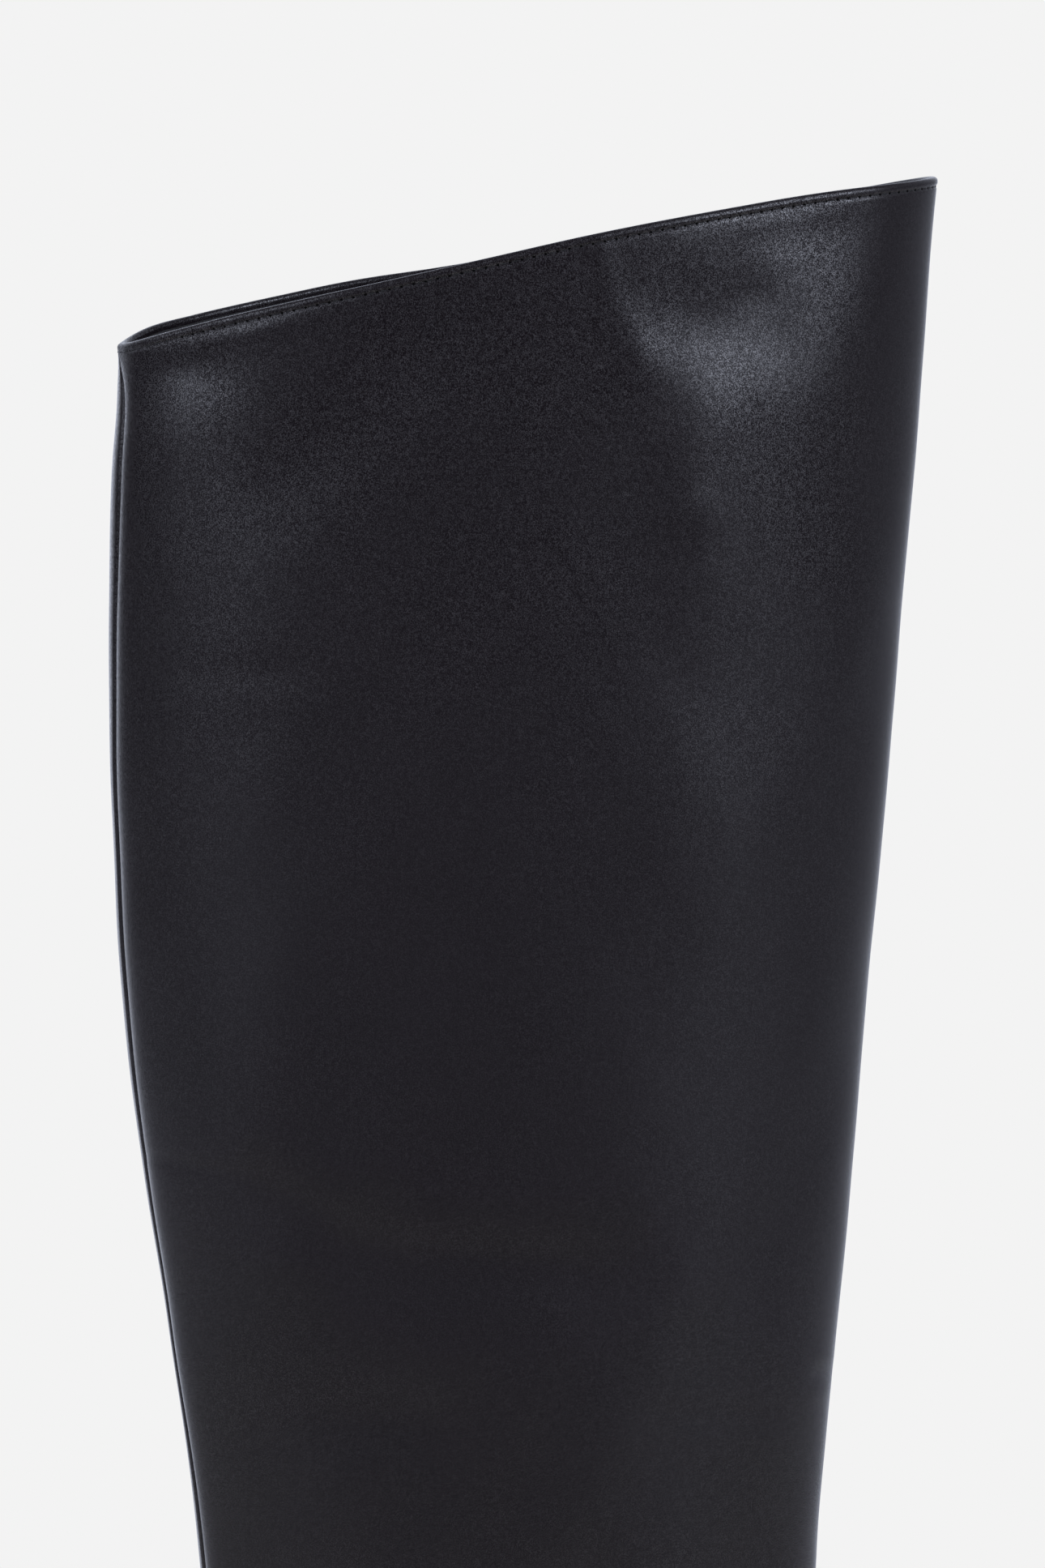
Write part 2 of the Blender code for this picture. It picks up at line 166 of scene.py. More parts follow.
TABLE = np.array(SECTIONS)
print(len(SECTIONS), "loops from the feather line to the topline")


# %% Curves through the tables
def eased(x, x0, x1):
    """0 before x0, 1 after x1, with a soft start and end."""
    s = np.clip((x - x0) / (x1 - x0), 0.0, 1.0)
    return s * s * (3 - 2 * s)


def bell(x, width):
    """1 at zero, falling softly to nothing beyond about twice the width."""
    return np.exp(-((x / width) ** 2))


def cubic_between(x, x0, x1, z0, z1, slope0, slope1):
    """The cubic from (x0, z0) to (x1, z1) with those end slopes."""
    length = x1 - x0
    s = (x - x0) / length
    return (
        z0 * (2 * s**3 - 3 * s**2 + 1)
        + slope0 * length * (s**3 - 2 * s**2 + s)
        + z1 * (3 * s**2 - 2 * s**3)
        + slope1 * length * (s**3 - s**2)
    )


def smooth_through(knots, rows, at):
    """The rows' columns at positions between the knots, on smooth curves through every row."""
    slopes = np.gradient(rows, knots, axis=0)
    at = np.clip(np.asarray(at, float), knots[0], knots[-1])
    row = np.clip(np.searchsorted(knots, at, side="right") - 1, 0, len(knots) - 2)
    start, end = knots[row][..., None], knots[row + 1][..., None]
    return cubic_between(at[..., None], start, end, rows[row], rows[row + 1], slopes[row], slopes[row + 1])


def sole_underside(x):
    """Height of the outsole's underside: heel seat, arch, flat tread and toe spring."""
    x = np.asarray(x, float)
    seat_slope = -HEEL_SEAT_DROP / (HEEL_BREAST_X - HEEL_BACK_X)
    breast_z = HEEL_HEIGHT - HEEL_SEAT_DROP
    seat = HEEL_HEIGHT + seat_slope * (x - HEEL_BACK_X)
    arch = cubic_between(x, HEEL_BREAST_X, TREAD_BACK_X, breast_z, 0.0, seat_slope, 0.0)
    spring = TOE_SPRING * ((x - TREAD_FRONT_X) / (TOE_TIP_X - TREAD_FRONT_X)) ** 2
    z = np.where(x < HEEL_BREAST_X, seat, arch)
    z = np.where(x > TREAD_BACK_X, 0.0, z)
    return np.where(x > TREAD_FRONT_X, spring, z)


def feather_height(x):
    """Height of the line where the upper's lower edge and the insole meet the outsole."""
    return sole_underside(x) + SOLE_THICKNESS + FIT_GAP


def level_knots():
    """Distance climbed from the feather line to each loop, halfway between back and front."""
    back = np.hypot(np.diff(TABLE[:, 0]), np.diff(TABLE[:, 1]))
    front = np.hypot(np.diff(TABLE[:, 2]), np.diff(TABLE[:, 3]))
    return np.concatenate([[0.0], np.cumsum((back + front) / 2)])


KNOTS = level_knots()
TOP_LEVEL = KNOTS[-1]
ANKLE_LOOP = 12
ANKLE_LEVEL = KNOTS[ANKLE_LOOP]


def section_at(level):
    """The loop at a distance climbed from the feather line."""
    return Section(*np.moveaxis(smooth_through(KNOTS, TABLE, level), -1, 0))


print("climb from feather line to topline: %.1f mm" % TOP_LEVEL)


# %% The skin without its details
LEVEL_STEP = 0.2
ANGLE_STEP = 1e-3


def rounded_end(distance, length):
    """A quarter ellipse: 0 at the end of a loop, 1 from that length on."""
    s = 1 - np.clip(distance / length, 0.0, 1.0)
    return np.sqrt(np.maximum(1 - s * s, 0.0))


def half_width(section, t, outer):
    """Half the loop's width at a share t of its length, on the outer or the inner side."""
    ball_station = np.where(outer, BALL_STATION_OUTER, BALL_STATION_INNER)
    to_waist = eased(t, HEEL_STATION, WAIST_STATION)
    to_ball = eased(t, WAIST_STATION, ball_station)
    waist = section.waist_half - np.where(outer, 0.0, INNER_ARCH_CUT * section.sole_share)
    middle = section.heel_half + (waist - section.heel_half) * to_waist
    middle = middle + (section.ball_half - waist) * to_ball
    return middle * rounded_end(t, section.back_taper) * rounded_end(1 - t, section.front_taper)


def foot_axis(x):
    """How far the middle of the foot bends towards the inner side."""
    s = np.maximum((x - BEND_START_X) / (TOE_TIP_X - BEND_START_X), 0.0)
    return BEND_AT_TOE * s * s


def topline_rise(t, outer):
    """The rise of the topline at a share t of its length, on the outer or the inner side."""
    rise = smooth_through(TOPLINE[:, 0], TOPLINE[:, 1:], t)
    return np.where(outer, rise[..., 0], rise[..., 1])


def turn_and_share(angle, section):
    """The loop's own angle from its back point, and the share of its length reached there."""
    shift = section.seam_shift / section.heel_half
    turn = angle + shift * (1 - np.abs(angle) / math.pi)
    return turn, (1 - np.cos(turn)) / 2


def smooth_skin(angle, level):
    """A point of the upper's outer face. Angle 0 is the back seam, pi the front, positive the outer side."""
    section = section_at(level)
    turn, t = turn_and_share(angle, section)
    outer = np.sin(turn) >= 0
    x = section.back_x + (section.front_x - section.back_x) * t
    side = half_width(section, t, outer) * np.where(outer, -1.0, 1.0)
    y = foot_axis(x) * section.sole_share + side
    chord = section.back_z + (section.front_z - section.back_z) * t
    sole_back, sole_front = feather_height(section.back_x), feather_height(section.front_x)
    sole_bow = feather_height(x) - sole_back - (sole_front - sole_back) * t
    z = chord + section.sole_share * sole_bow + section.topline_share * topline_rise(t, outer)
    return np.stack([x, y, z], axis=-1)


def unit(vectors):
    """The vectors at length 1."""
    return vectors / np.linalg.norm(vectors, axis=-1, keepdims=True)


def skin_up(angle, level):
    """Direction up the upper's outer face."""
    low = np.maximum(level - LEVEL_STEP, KNOTS[0])
    high = np.minimum(level + LEVEL_STEP, TOP_LEVEL)
    return unit(smooth_skin(angle, high) - smooth_skin(angle, low))


def skin_normal(angle, level):
    """Outward direction of the upper's outer face."""
    around = smooth_skin(angle + ANGLE_STEP, level) - smooth_skin(angle - ANGLE_STEP, level)
    return unit(np.cross(around, skin_up(angle, level)))


whole_turn = np.linspace(-math.pi, math.pi, 361)
topline = smooth_skin(whole_turn, np.full_like(whole_turn, TOP_LEVEL))
print("topline %.0f mm from back to front, %.0f mm across" % tuple(np.ptp(topline[:, :2], axis=0)))


# %% [markdown]
# ## Folds and seams in the leather
#
# Leather that stands by itself sinks and buckles softly. A cloth simulation could make such folds, but not
# these ones at their places, so each fold is listed one by one: a dent is a round hollow, and a crease is a
# trough between two points with a low ridge on either side. The back seam is two rolled edges with a groove
# between them. Along the topline the leather is turned over and stitched down, so it puffs a little above
# and below the thread. All of them are added up as one height over the plain skin.

# %% Fold tables
OUTER, INNER = 1.0, -1.0


class Dent(NamedTuple):
    """A round hollow at (x, z). A negative depth makes it a swelling."""

    side: float
    x: float
    z: float
    radius_x: float
    radius_z: float
    tilt_deg: float
    depth: float


DENTS = (
    Dent(OUTER, 145.0, 484.0, 22.0, 31.0, 0.0, 2.4),
    Dent(OUTER, 124.0, 486.0, 30.0, 28.0, 0.0, 1.2),
    Dent(OUTER, 130.0, 448.5, 19.0, 12.0, -8.0, 1.4),
    Dent(OUTER, 150.0, 474.0, 12.0, 22.0, 0.0, 1.2),
    Dent(OUTER, 138.0, 455.0, 6.0, 4.0, 0.0, 0.2),
    Dent(OUTER, 14.0, 441.0, 7.5, 8.5, 0.0, 1.2),
    Dent(OUTER, 26.0, 452.0, 13.0, 6.0, 12.0, 0.5),
    Dent(OUTER, 127.0, 337.0, 22.0, 26.0, -20.0, -1.0),
    Dent(OUTER, 52.0, 208.0, 18.0, 9.0, 0.0, 0.6),
    Dent(INNER, 120.0, 430.0, 26.0, 20.0, -15.0, 1.6),
    Dent(INNER, 50.0, 330.0, 24.0, 30.0, 0.0, 1.0),
    Dent(INNER, 110.0, 250.0, 26.0, 16.0, 10.0, 0.8),
)


class Crease(NamedTuple):
    """A trough from (x0, z0) to (x1, z1), with a ridge on either side that has a share of its depth.

    A negative depth makes it a raised fold."""

    side: float
    x0: float
    z0: float
    x1: float
    z1: float
    width: float
    depth: float
    ridge: float


CREASES = (
    Crease(OUTER, 100.0, 472.0, 105.0, 449.0, 3.0, -0.34, 0.0),
    Crease(OUTER, 104.0, 453.0, 115.0, 434.0, 5.0, -0.46, 0.0),
    Crease(OUTER, 124.0, 432.0, 125.0, 375.0, 10.0, -0.8, 0.0),
    Crease(OUTER, 112.0, 406.0, 130.0, 408.0, 5.0, -0.35, 0.0),
    Crease(OUTER, 18.0, 402.0, 76.0, 456.0, 12.0, 0.9, 0.0),
    Crease(OUTER, 20.0, 150.0, 22.0, 310.0, 15.0, -1.4, 0.0),
    Crease(OUTER, 14.0, 264.0, 52.0, 246.0, 7.0, 0.6, 0.0),
    Crease(OUTER, 40.0, 244.0, 112.0, 240.0, 8.0, 0.8, 0.0),
    Crease(OUTER, 112.0, 208.5, 150.0, 206.0, 3.0, 0.08, 0.3),
    Crease(OUTER, 10.0, 371.5, 40.0, 373.0, 3.4, 0.18, 0.25),
    Crease(OUTER, 4.0, 264.5, 25.0, 261.0, 1.3, 0.22, 0.1),
    Crease(OUTER, 152.0, 214.5, 159.0, 213.0, 2.0, 0.25, 0.5),
    Crease(OUTER, 37.0, 405.0, 31.0, 399.0, 3.0, 0.05, 0.4),
    Crease(INNER, 60.0, 420.0, 96.0, 400.0, 6.0, 0.8, 0.4),
    Crease(INNER, 18.0, 280.0, 44.0, 272.0, 6.0, 0.35, 0.3),
    Crease(INNER, 130.0, 300.0, 160.0, 290.0, 7.0, 0.4, 0.3),
)
print(len(DENTS), "dents and", len(CREASES), "creases")

# %% Relief of the folds
# About half the shaft's width: across the boot, 1 is its outer face and -1 its inner face
SHAFT_HALF_WIDTH = 40.0
# A fold fades in between these two places across the boot
DENT_SIDE = (-0.05, 0.25)
CREASE_SIDE = (-0.05, 0.2)
# A crease fades in and out between these shares of its length
CREASE_START = (-0.15, 0.35)
CREASE_END = (0.65, 1.15)
# A crease's ridges stand this many of its widths from its middle
RIDGE_OFFSET = 1.9


def dent_relief(dent, x, z, side):
    """How far one dent pushes the skin out, in millimetres."""
    tilt = math.radians(dent.tilt_deg)
    dx, dz = x - dent.x, z - dent.z
    along = (dx * math.cos(tilt) + dz * math.sin(tilt)) / dent.radius_x
    across = (dz * math.cos(tilt) - dx * math.sin(tilt)) / dent.radius_z
    return -dent.depth * np.exp(-(along**2) - across**2) * eased(side * dent.side, *DENT_SIDE)


def crease_relief(crease, x, z, side):
    """How far one crease pushes the skin out, with its trough and its two ridges."""
    run = np.array([crease.x1 - crease.x0, crease.z1 - crease.z0])
    length = np.hypot(*run)
    run_x, run_z = run / length
    dx, dz = x - crease.x0, z - crease.z0
    along = (dx * run_x + dz * run_z) / length
    across = dz * run_x - dx * run_z
    offset = RIDGE_OFFSET * crease.width
    ridges = bell(across - offset, crease.width) + bell(across + offset, crease.width)
    profile = crease.ridge * ridges - bell(across, crease.width)
    fade = eased(along, *CREASE_START) * (1 - eased(along, *CREASE_END))
    return crease.depth * profile * fade * eased(side * crease.side, *CREASE_SIDE)


def fold_relief(points):
    """How far all the folds push the skin out at these points."""
    x, y, z = np.moveaxis(points, -1, 0)
    side = -y / SHAFT_HALF_WIDTH
    dents = sum(dent_relief(dent, x, z, side) for dent in DENTS)
    creases = sum(crease_relief(crease, x, z, side) for crease in CREASES)
    return dents + creases


print("folds sink the topline by up to %.1f mm" % -fold_relief(topline).min())


# %% Slow waves
class Wave(NamedTuple):
    """A slow swell of the leather: wave lengths along x and z, a phase, a height."""

    length_x: float
    length_z: float
    phase: float
    height: float


WAVES = (
    Wave(61.0, 95.0, 0.4, 0.10),
    Wave(-43.0, 71.0, 1.9, 0.07),
    Wave(29.0, -58.0, 3.3, 0.05),
    Wave(-23.0, 37.0, 5.1, 0.03),
    Wave(17.0, 29.0, 2.2, 0.02),
)
WAVES_PER_MM_ACROSS = 0.011
# Toe and counter are stiff: no waves below the first height, all of them above the second
WAVES_FROM, WAVES_FULL = 95.0, 170.0


def wave_relief(points):
    """Slow swells of the leather, the same on no two places."""
    x, y, z = np.moveaxis(points, -1, 0)
    total = np.zeros_like(x)
    for wave in WAVES:
        across = WAVES_PER_MM_ACROSS * np.sign(wave.length_x) * y
        turns = x / wave.length_x + z / wave.length_z + across
        total += wave.height * np.sin(2 * math.pi * turns + wave.phase)
    return total * eased(z, WAVES_FROM, WAVES_FULL)


print("waves of up to %.2f mm" % sum(wave.height for wave in WAVES))


# %% The back seam
class SeamEdge(NamedTuple):
    """A panel's edge beside the back seam: its roll inwards with its reach, and its half of the groove."""

    roll: float
    reach: float
    groove: float
    groove_width: float


OUTER_EDGE = SeamEdge(1.1, 2.3, 0.5, 0.3)
INNER_EDGE = SeamEdge(0.8, 2.0, 0.4, 0.4)
SEAM_SWELL = 1.05
SEAM_SWELL_REACH = 10.0
# The inner edge rolls in by this share low down, and fully above the second of these two loops
SEAM_CLOSED_SHARE = 0.5
SEAM_OPENS_LOOP, SEAM_OPEN_LOOP = 17, 18
# At the topline the seam is pressed to a ridge, with this share of its roll left
SEAM_FLAT_SHARE = 0.05
SEAM_FLAT_HEIGHT = 12.0
SEAM_RIDGE = 0.8
SEAM_RIDGE_REACH = 3.0


def seam_side(edge, across):
    """The relief of one panel at a distance from the seam."""
    return -edge.roll * np.exp(-across / edge.reach) - edge.groove * bell(across, edge.groove_width)


def seam_relief(angle, level):
    """The low swelling along the back seam, its rolled edges and groove, and the pressed ridge at its top."""
    across = angle * section_at(level).heel_half
    outer, inner = seam_side(OUTER_EDGE, np.abs(across)), seam_side(INNER_EDGE, np.abs(across))
    opening = eased(level, KNOTS[SEAM_OPENS_LOOP], KNOTS[SEAM_OPEN_LOOP])
    gaping = SEAM_CLOSED_SHARE + (1 - SEAM_CLOSED_SHARE) * opening
    below_top = eased(TOP_LEVEL - level, 0.0, SEAM_FLAT_HEIGHT)
    rolled = np.where(across > 0, outer, inner * gaping)
    rolled = rolled * (SEAM_FLAT_SHARE + (1 - SEAM_FLAT_SHARE) * below_top)
    swell = SEAM_SWELL * bell(across, SEAM_SWELL_REACH)
    ridge = SEAM_RIDGE * np.exp(-np.abs(across) / SEAM_RIDGE_REACH)
    return rolled + ridge + (swell - ridge) * below_top


print("edges roll in by %.1f and %.1f mm" % (OUTER_EDGE.roll, INNER_EDGE.roll))

# %% The turned topline
EDGE_RADIUS = 0.95
STITCH_PITCH = 2.7
STITCH_BELOW = 2.0


class Puff(NamedTuple):
    """A stretch of the outer topline that swells: its middle, its half length, its height."""

    x: float
    reach: float
    height: float


BEAD = 0.08
BEAD_ABOVE = 0.8
BEAD_REACH = 0.6
BEAD_PUFFS = (Puff(136.0, 18.0, 0.2),)
LOW_PUFFS = (Puff(13.0, 8.0, 0.36), Puff(28.0, 14.0, 0.27), Puff(117.0, 6.0, 0.05), Puff(144.0, 17.0, 0.12))
LOW_SWELL_BELOW = 2.6
LOW_SWELL_REACH = 2.2
THREAD_GROOVE = 0.22
THREAD_GROOVE_REACH = 0.4
# Puffs fade out over this distance to either side of the boot's middle
PUFF_FADE = 5.0
# Beside the back seam the edge is flat and bare: the distances over which it changes, and the stitches
BARE_NEAR_SEAM = (2.0, 9.0)
BARE_STITCHES = 8


def puffed(points, puffs):
    """The summed height of the puffs at these points of the outer side."""
    x, y, _ = np.moveaxis(points, -1, 0)
    height = sum(puff.height * bell(x - puff.x, puff.reach) for puff in puffs)
    return height * eased(-y, -PUFF_FADE, PUFF_FADE)


def away_from_seam(angle, level):
    """0 at the back seam, where the turned edge is pressed flat, and 1 a little way from it."""
    return eased(np.abs(angle) * section_at(level).heel_half, *BARE_NEAR_SEAM)


def topline_relief(angle, level, points):
    """The turned edge's bead, the groove that the thread pulls in, and the low swelling under it."""
    below = TOP_LEVEL - level - STITCH_BELOW
    bead = (BEAD + puffed(points, BEAD_PUFFS)) * bell(below + BEAD_ABOVE, BEAD_REACH)
    groove = THREAD_GROOVE * bell(below, THREAD_GROOVE_REACH)
    low = puffed(points, LOW_PUFFS) * bell(below - LOW_SWELL_BELOW, LOW_SWELL_REACH)
    return (bead - groove + low) * away_from_seam(angle, level)


def leather_skin(angle, level, details=True):
    """The outer face of the leather, with its folds, and with its seam and topline as details."""
    plain = smooth_skin(angle, level)
    relief = fold_relief(plain) + wave_relief(plain)
    if details:
        relief = relief + seam_relief(angle, level) + topline_relief(angle, level, plain)
    return plain + skin_normal(angle, level) * relief[..., None]


print("stitches %.1f mm apart, %.1f mm below the topline" % (STITCH_PITCH, STITCH_BELOW))


# %% [markdown]
# ## The leather and its lining
#
# The real shaft is leather outside and lining inside, with the leather's edge turned over the top. One
# thick wall with a Solidify modifier could stand for both, but the turned edge and the two materials want
# pieces of their own. The leather is one grid of rings, because every fold is a height on it. Its rings are
# close together at the stitched topline and its columns at the back seam, where the relief is finest. Above
# the last outer ring the edge rolls over and runs down inside the boot, where the lining takes over.

# %% Mesh helpers
def mesh_object(name, points, faces):
    """A smooth-shaded object from points in the tables' millimetres."""
    mesh = bpy.data.meshes.new(name)
    mesh.from_pydata(((np.asarray(points) - FRAME_ORIGIN) * MM).tolist(), [], faces)
    mesh.shade_smooth()
    piece = bpy.data.objects.new(name, mesh)
    scene.collection.objects.link(piece)
    return piece


def ring_faces(rings, count, inward=False):
    """Quads between consecutive closed rings of count points each."""
    ring, i = np.meshgrid(np.arange(rings - 1), np.arange(count), indexing="ij")
    j = (i + 1) % count
    low, high = ring * count, (ring + 1) * count
    quads = np.stack([low + i, low + j, high + j, high + i], axis=-1).reshape(-1, 4)
    return (quads[:, ::-1] if inward else quads).tolist()


def point_attribute(piece, name, values):
    """Gives each point of a piece a number that its material can read."""
    attribute = piece.data.attributes.new(name, "FLOAT", "POINT")
    attribute.data.foreach_set("value", np.asarray(values, np.float32).ravel())


def take_place(piece, slot, material, *nodes):
    """Puts a finished piece on the boot with its material, in place of the named CAD nodes."""
    piece.data.materials.clear()
    piece.data.materials.append(material)
    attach(piece, "root")
    if nodes:
        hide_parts(*nodes)
    print("%-18s %6d faces" % (piece.name, len(piece.data.polygons)))


# %% Columns and rings
# Distances in millimetres: of columns from the back seam, and of rings below the topline
SEAM_COLUMNS = (0.0, 0.1, 0.2, 0.3, 0.42, 0.56, 0.75, 1.0, 1.3, 1.7, 2.2, 2.8, 3.6, 4.6, 5.8)
SIDE_COLUMNS = 146
BEAD_RINGS = (1.85, 1.7, 1.55, 1.4, 1.25, 1.1, EDGE_RADIUS)
TOP_RINGS = (14.5, 12.8, 11.2, 9.8, 8.5, 7.4, 6.4, 5.5, 4.8, 4.2, 3.7, 3.3, 3.0, 2.75, 2.5, 2.3, 2.15, 2.0)
FOOT_RING_STEP = 2.6
SHAFT_RING_STEP = 1.75
SHAFT_RINGS_END = TOP_RINGS[0] + 1.0


def leather_angles():
    """Angles round the upper, closest together at the back seam."""
    seam = np.array(SEAM_COLUMNS) / SHAFT_HALF_WIDTH
    side = np.linspace(seam[-1], math.pi, SIDE_COLUMNS + 1)
    half = np.concatenate([seam[:-1], side])
    return np.concatenate([half, -half[-2:0:-1]])


def leather_levels():
    """Rings from the feather line up to where the edge rolls over."""
    foot = np.arange(0.0, ANKLE_LEVEL, FOOT_RING_STEP)
    shaft = np.arange(ANKLE_LEVEL, TOP_LEVEL - SHAFT_RINGS_END, SHAFT_RING_STEP)
    return np.concatenate([foot, shaft, TOP_LEVEL - np.array(TOP_RINGS + BEAD_RINGS)])


ANGLES, LEVELS = leather_angles(), leather_levels()
print(len(ANGLES), "columns and", len(LEVELS), "rings")

# %% The leather upper
ROLL_STEPS = 8
# How far the turned edge runs down inside, and how far above the sole the lower edge ends
TURNED_DROPS = (0.8, 1.8, 3.2, 5.0)
SOLE_CLEARANCE = 0.02

grid_angle, grid_level = np.meshgrid(ANGLES, LEVELS)
outer_face = leather_skin(grid_angle, grid_level)

edge_level = np.full_like(ANGLES, LEVELS[-1])
edge = outer_face[-1]
edge_out, edge_up = skin_normal(ANGLES, edge_level), skin_up(ANGLES, edge_level)
roll_middle = edge - edge_out * EDGE_RADIUS
roll = []
for a in np.radians(np.linspace(0.0, 180.0, ROLL_STEPS + 1)[1:]):
    roll.append(roll_middle + (edge_up * math.sin(a) + edge_out * math.cos(a)) * EDGE_RADIUS)
for drop in TURNED_DROPS:
    roll.append(roll[ROLL_STEPS - 1] - edge_up * drop)
tucked_in = outer_face[:1] - (0.0, 0.0, FIT_GAP - SOLE_CLEARANCE)
rings = np.concatenate([tucked_in, outer_face, np.array(roll)])
leather = mesh_object("leather_upper", rings.reshape(-1, 3), ring_faces(len(rings), len(ANGLES)))
print("leather of", len(rings), "rings")

# %% Where the stitches fall
below_edge = np.concatenate([[TOP_LEVEL], TOP_LEVEL - LEVELS, np.zeros(len(roll))])
from_stitch = np.broadcast_to((below_edge - STITCH_BELOW)[:, None], rings.shape[:2])
step = np.linalg.norm(np.diff(edge, axis=0, append=edge[:1]), axis=1)
along_edge = np.concatenate([[0.0], np.cumsum(step)[:-1]])
EDGE_LENGTH = step.sum()
STITCH_COUNT = round(EDGE_LENGTH / STITCH_PITCH)
point_attribute(leather, "from_stitch", from_stitch)
phase = along_edge / EDGE_LENGTH * STITCH_COUNT
phase = np.clip(phase, BARE_STITCHES - 0.5, STITCH_COUNT - BARE_STITCHES + 0.5)
point_attribute(leather, "stitch_phase", np.broadcast_to(phase, from_stitch.shape))
print("topline length %.0f mm, %d stitches" % (EDGE_LENGTH, STITCH_COUNT))

# %% The lining
LINING_DEPTH = 2.25
LINING_THICKNESS = 0.5
LINING_COLUMNS = 168
LINING_RINGS = 120
LINING_START = 3.0
# Below the topline: the end of the evenly spaced rings, and the rings above them
LINING_EVEN_END = 12.0
LINING_TOP_RINGS = (9.0, 6.0, 4.0, 2.8, 2.1, 1.7)

lining_angles = np.linspace(0.0, 2 * math.pi, LINING_COLUMNS, endpoint=False)
lining_angles = np.where(lining_angles > math.pi, lining_angles - 2 * math.pi, lining_angles)
lining_levels = np.concatenate([
    np.linspace(LINING_START, TOP_LEVEL - LINING_EVEN_END, LINING_RINGS),
    TOP_LEVEL - np.array(LINING_TOP_RINGS),
])
lining_angle, lining_level = np.meshgrid(lining_angles, lining_levels)
lining_out = skin_normal(lining_angle, lining_level)
lining_face = leather_skin(lining_angle, lining_level, details=False) - lining_out * LINING_DEPTH
turned_in = lining_face[-1:] + lining_out[-1:] * LINING_THICKNESS
lining_rings = np.concatenate([lining_face, turned_in])
lining = mesh_object(
    "lining", lining_rings.reshape(-1, 3), ring_faces(len(lining_rings), LINING_COLUMNS, inward=True)
)
print("lining of", len(lining_rings), "rings")


# %% [markdown]
# ## Sole and heel
#
# Sole and heel are cut from sheets of leather, and a rubber top piece is nailed under the heel. They could
# be cut from blocks with Boolean modifiers, but their edges have fine grooves and soft corners, which are
# easier to place row by row. Each piece is a pile of outlines, from the lowest to the highest, closed above
# and below by strips that run across the foot.

# %% Solids from outlines
SOLE_DIVISIONS = 120
HEEL_DIVISIONS = 40
# An outline narrower than this at its end is one point there
POINTED = 1e-6


def grown(section, margin):
    """The loop's outline moved outwards by a margin."""
    return section._replace(
        back_x=section.back_x - margin,
        front_x=section.front_x + margin,
        heel_half=section.heel_half + margin,
        waist_half=section.waist_half + margin,
        ball_half=section.ball_half + margin,
    )


def outline_sides(section, share):
    """Points (x, outer y, inner y) of a flat outline at shares of its length."""
    x = section.back_x + (section.front_x - section.back_x) * share
    axis = foot_axis(x)
    return x, axis - half_width(section, share, True), axis + half_width(section, share, False)


def strip_solid(layers):
    """Points and faces of a closed solid from layers of (x, outer y, inner y, z), lowest layer first."""
    points, rims = [], []
    for x, outer, inner, z in layers:
        pointed_back = abs(inner[0] - outer[0]) < POINTED
        pointed_front = abs(inner[-1] - outer[-1]) < POINTED
        base = len(points)
        points += list(zip(x, outer, z))
        inner_rows = range(len(x) - 1 - pointed_front, pointed_back - 1, -1)
        points += [(x[i], inner[i], z[i]) for i in inner_rows]
        rims.append(list(range(base, len(points))))
    outer_count = len(layers[0][0])
    faces = []
    for low, high in zip(rims, rims[1:]):
        for i in range(len(low)):
            j = (i + 1) % len(low)
            faces.append((low[i], low[j], high[j], high[i]))
    for rim, below in ((rims[0], True), (rims[-1], False)):
        outer_row = rim[:outer_count]
        inner_row = rim[outer_count:][::-1]
        if len(inner_row) < outer_count:
            inner_row = [outer_row[0]] + inner_row
        if len(inner_row) < outer_count:
            inner_row = inner_row + [outer_row[-1]]
        for i in range(outer_count - 1):
            corners = (outer_row[i], outer_row[i + 1], inner_row[i + 1], inner_row[i])
            corners = tuple(dict.fromkeys(corners))
            faces.append(corners[::-1] if below else corners)
    return np.array(points), faces


def end_crowded_shares(count, last=1.0):
    """Shares of a length, closer together towards rounded ends."""
    turn = np.linspace(0.0, math.acos(1 - 2 * last), count)
    return (1 - np.cos(turn)) / 2


print("soles in", SOLE_DIVISIONS, "steps along the foot, the heel in", HEEL_DIVISIONS)


# %% Sole and sock
class EdgeRow(NamedTuple):
    """A line round a piece's side: its height as a share of the thickness, and how far it stands in."""

    height: float
    inset: float


SOLE_EDGE = (
    EdgeRow(0.0, 1.5),
    EdgeRow(0.05, 0.8),
    EdgeRow(0.16, 0.25),
    EdgeRow(0.35, 0.0),
    EdgeRow(0.55, 0.0),
    EdgeRow(0.6, 0.18),
    EdgeRow(0.64, 0.42),
    EdgeRow(0.68, 0.42),
    EdgeRow(0.72, 0.15),
    EdgeRow(0.78, 0.0),
    EdgeRow(0.94, 0.05),
    EdgeRow(1.0, 0.35),
)

INSOLE_EDGE = (EdgeRow(0.0, 0.0), EdgeRow(0.6, 0.0), EdgeRow(0.88, 0.5), EdgeRow(1.0, 1.6))


def sole_layers(rows, margin, bottom, thickness):
    """Outlines of a slice of that thickness over a curved bottom."""
    share = end_crowded_shares(SOLE_DIVISIONS)
    layers = []
    for row in rows:
        x, outer, inner = outline_sides(grown(SECTIONS[0], margin - row.inset), share)
        layers.append((x, outer, inner, bottom(x) + row.height * thickness))
    return layers


sole_shape = strip_solid(sole_layers(SOLE_EDGE, SOLE_MARGIN, sole_underside, SOLE_THICKNESS))
sock_shape = strip_solid(sole_layers(INSOLE_EDGE, INSOLE_MARGIN, feather_height, INSOLE_THICKNESS))
outsole = mesh_object("sole", *sole_shape)
sock = mesh_object("sock", *sock_shape)
print("sole of", len(SOLE_EDGE), "rows, sock of", len(INSOLE_EDGE))

# %% Heel and top piece
HEEL_LAYERS = 15
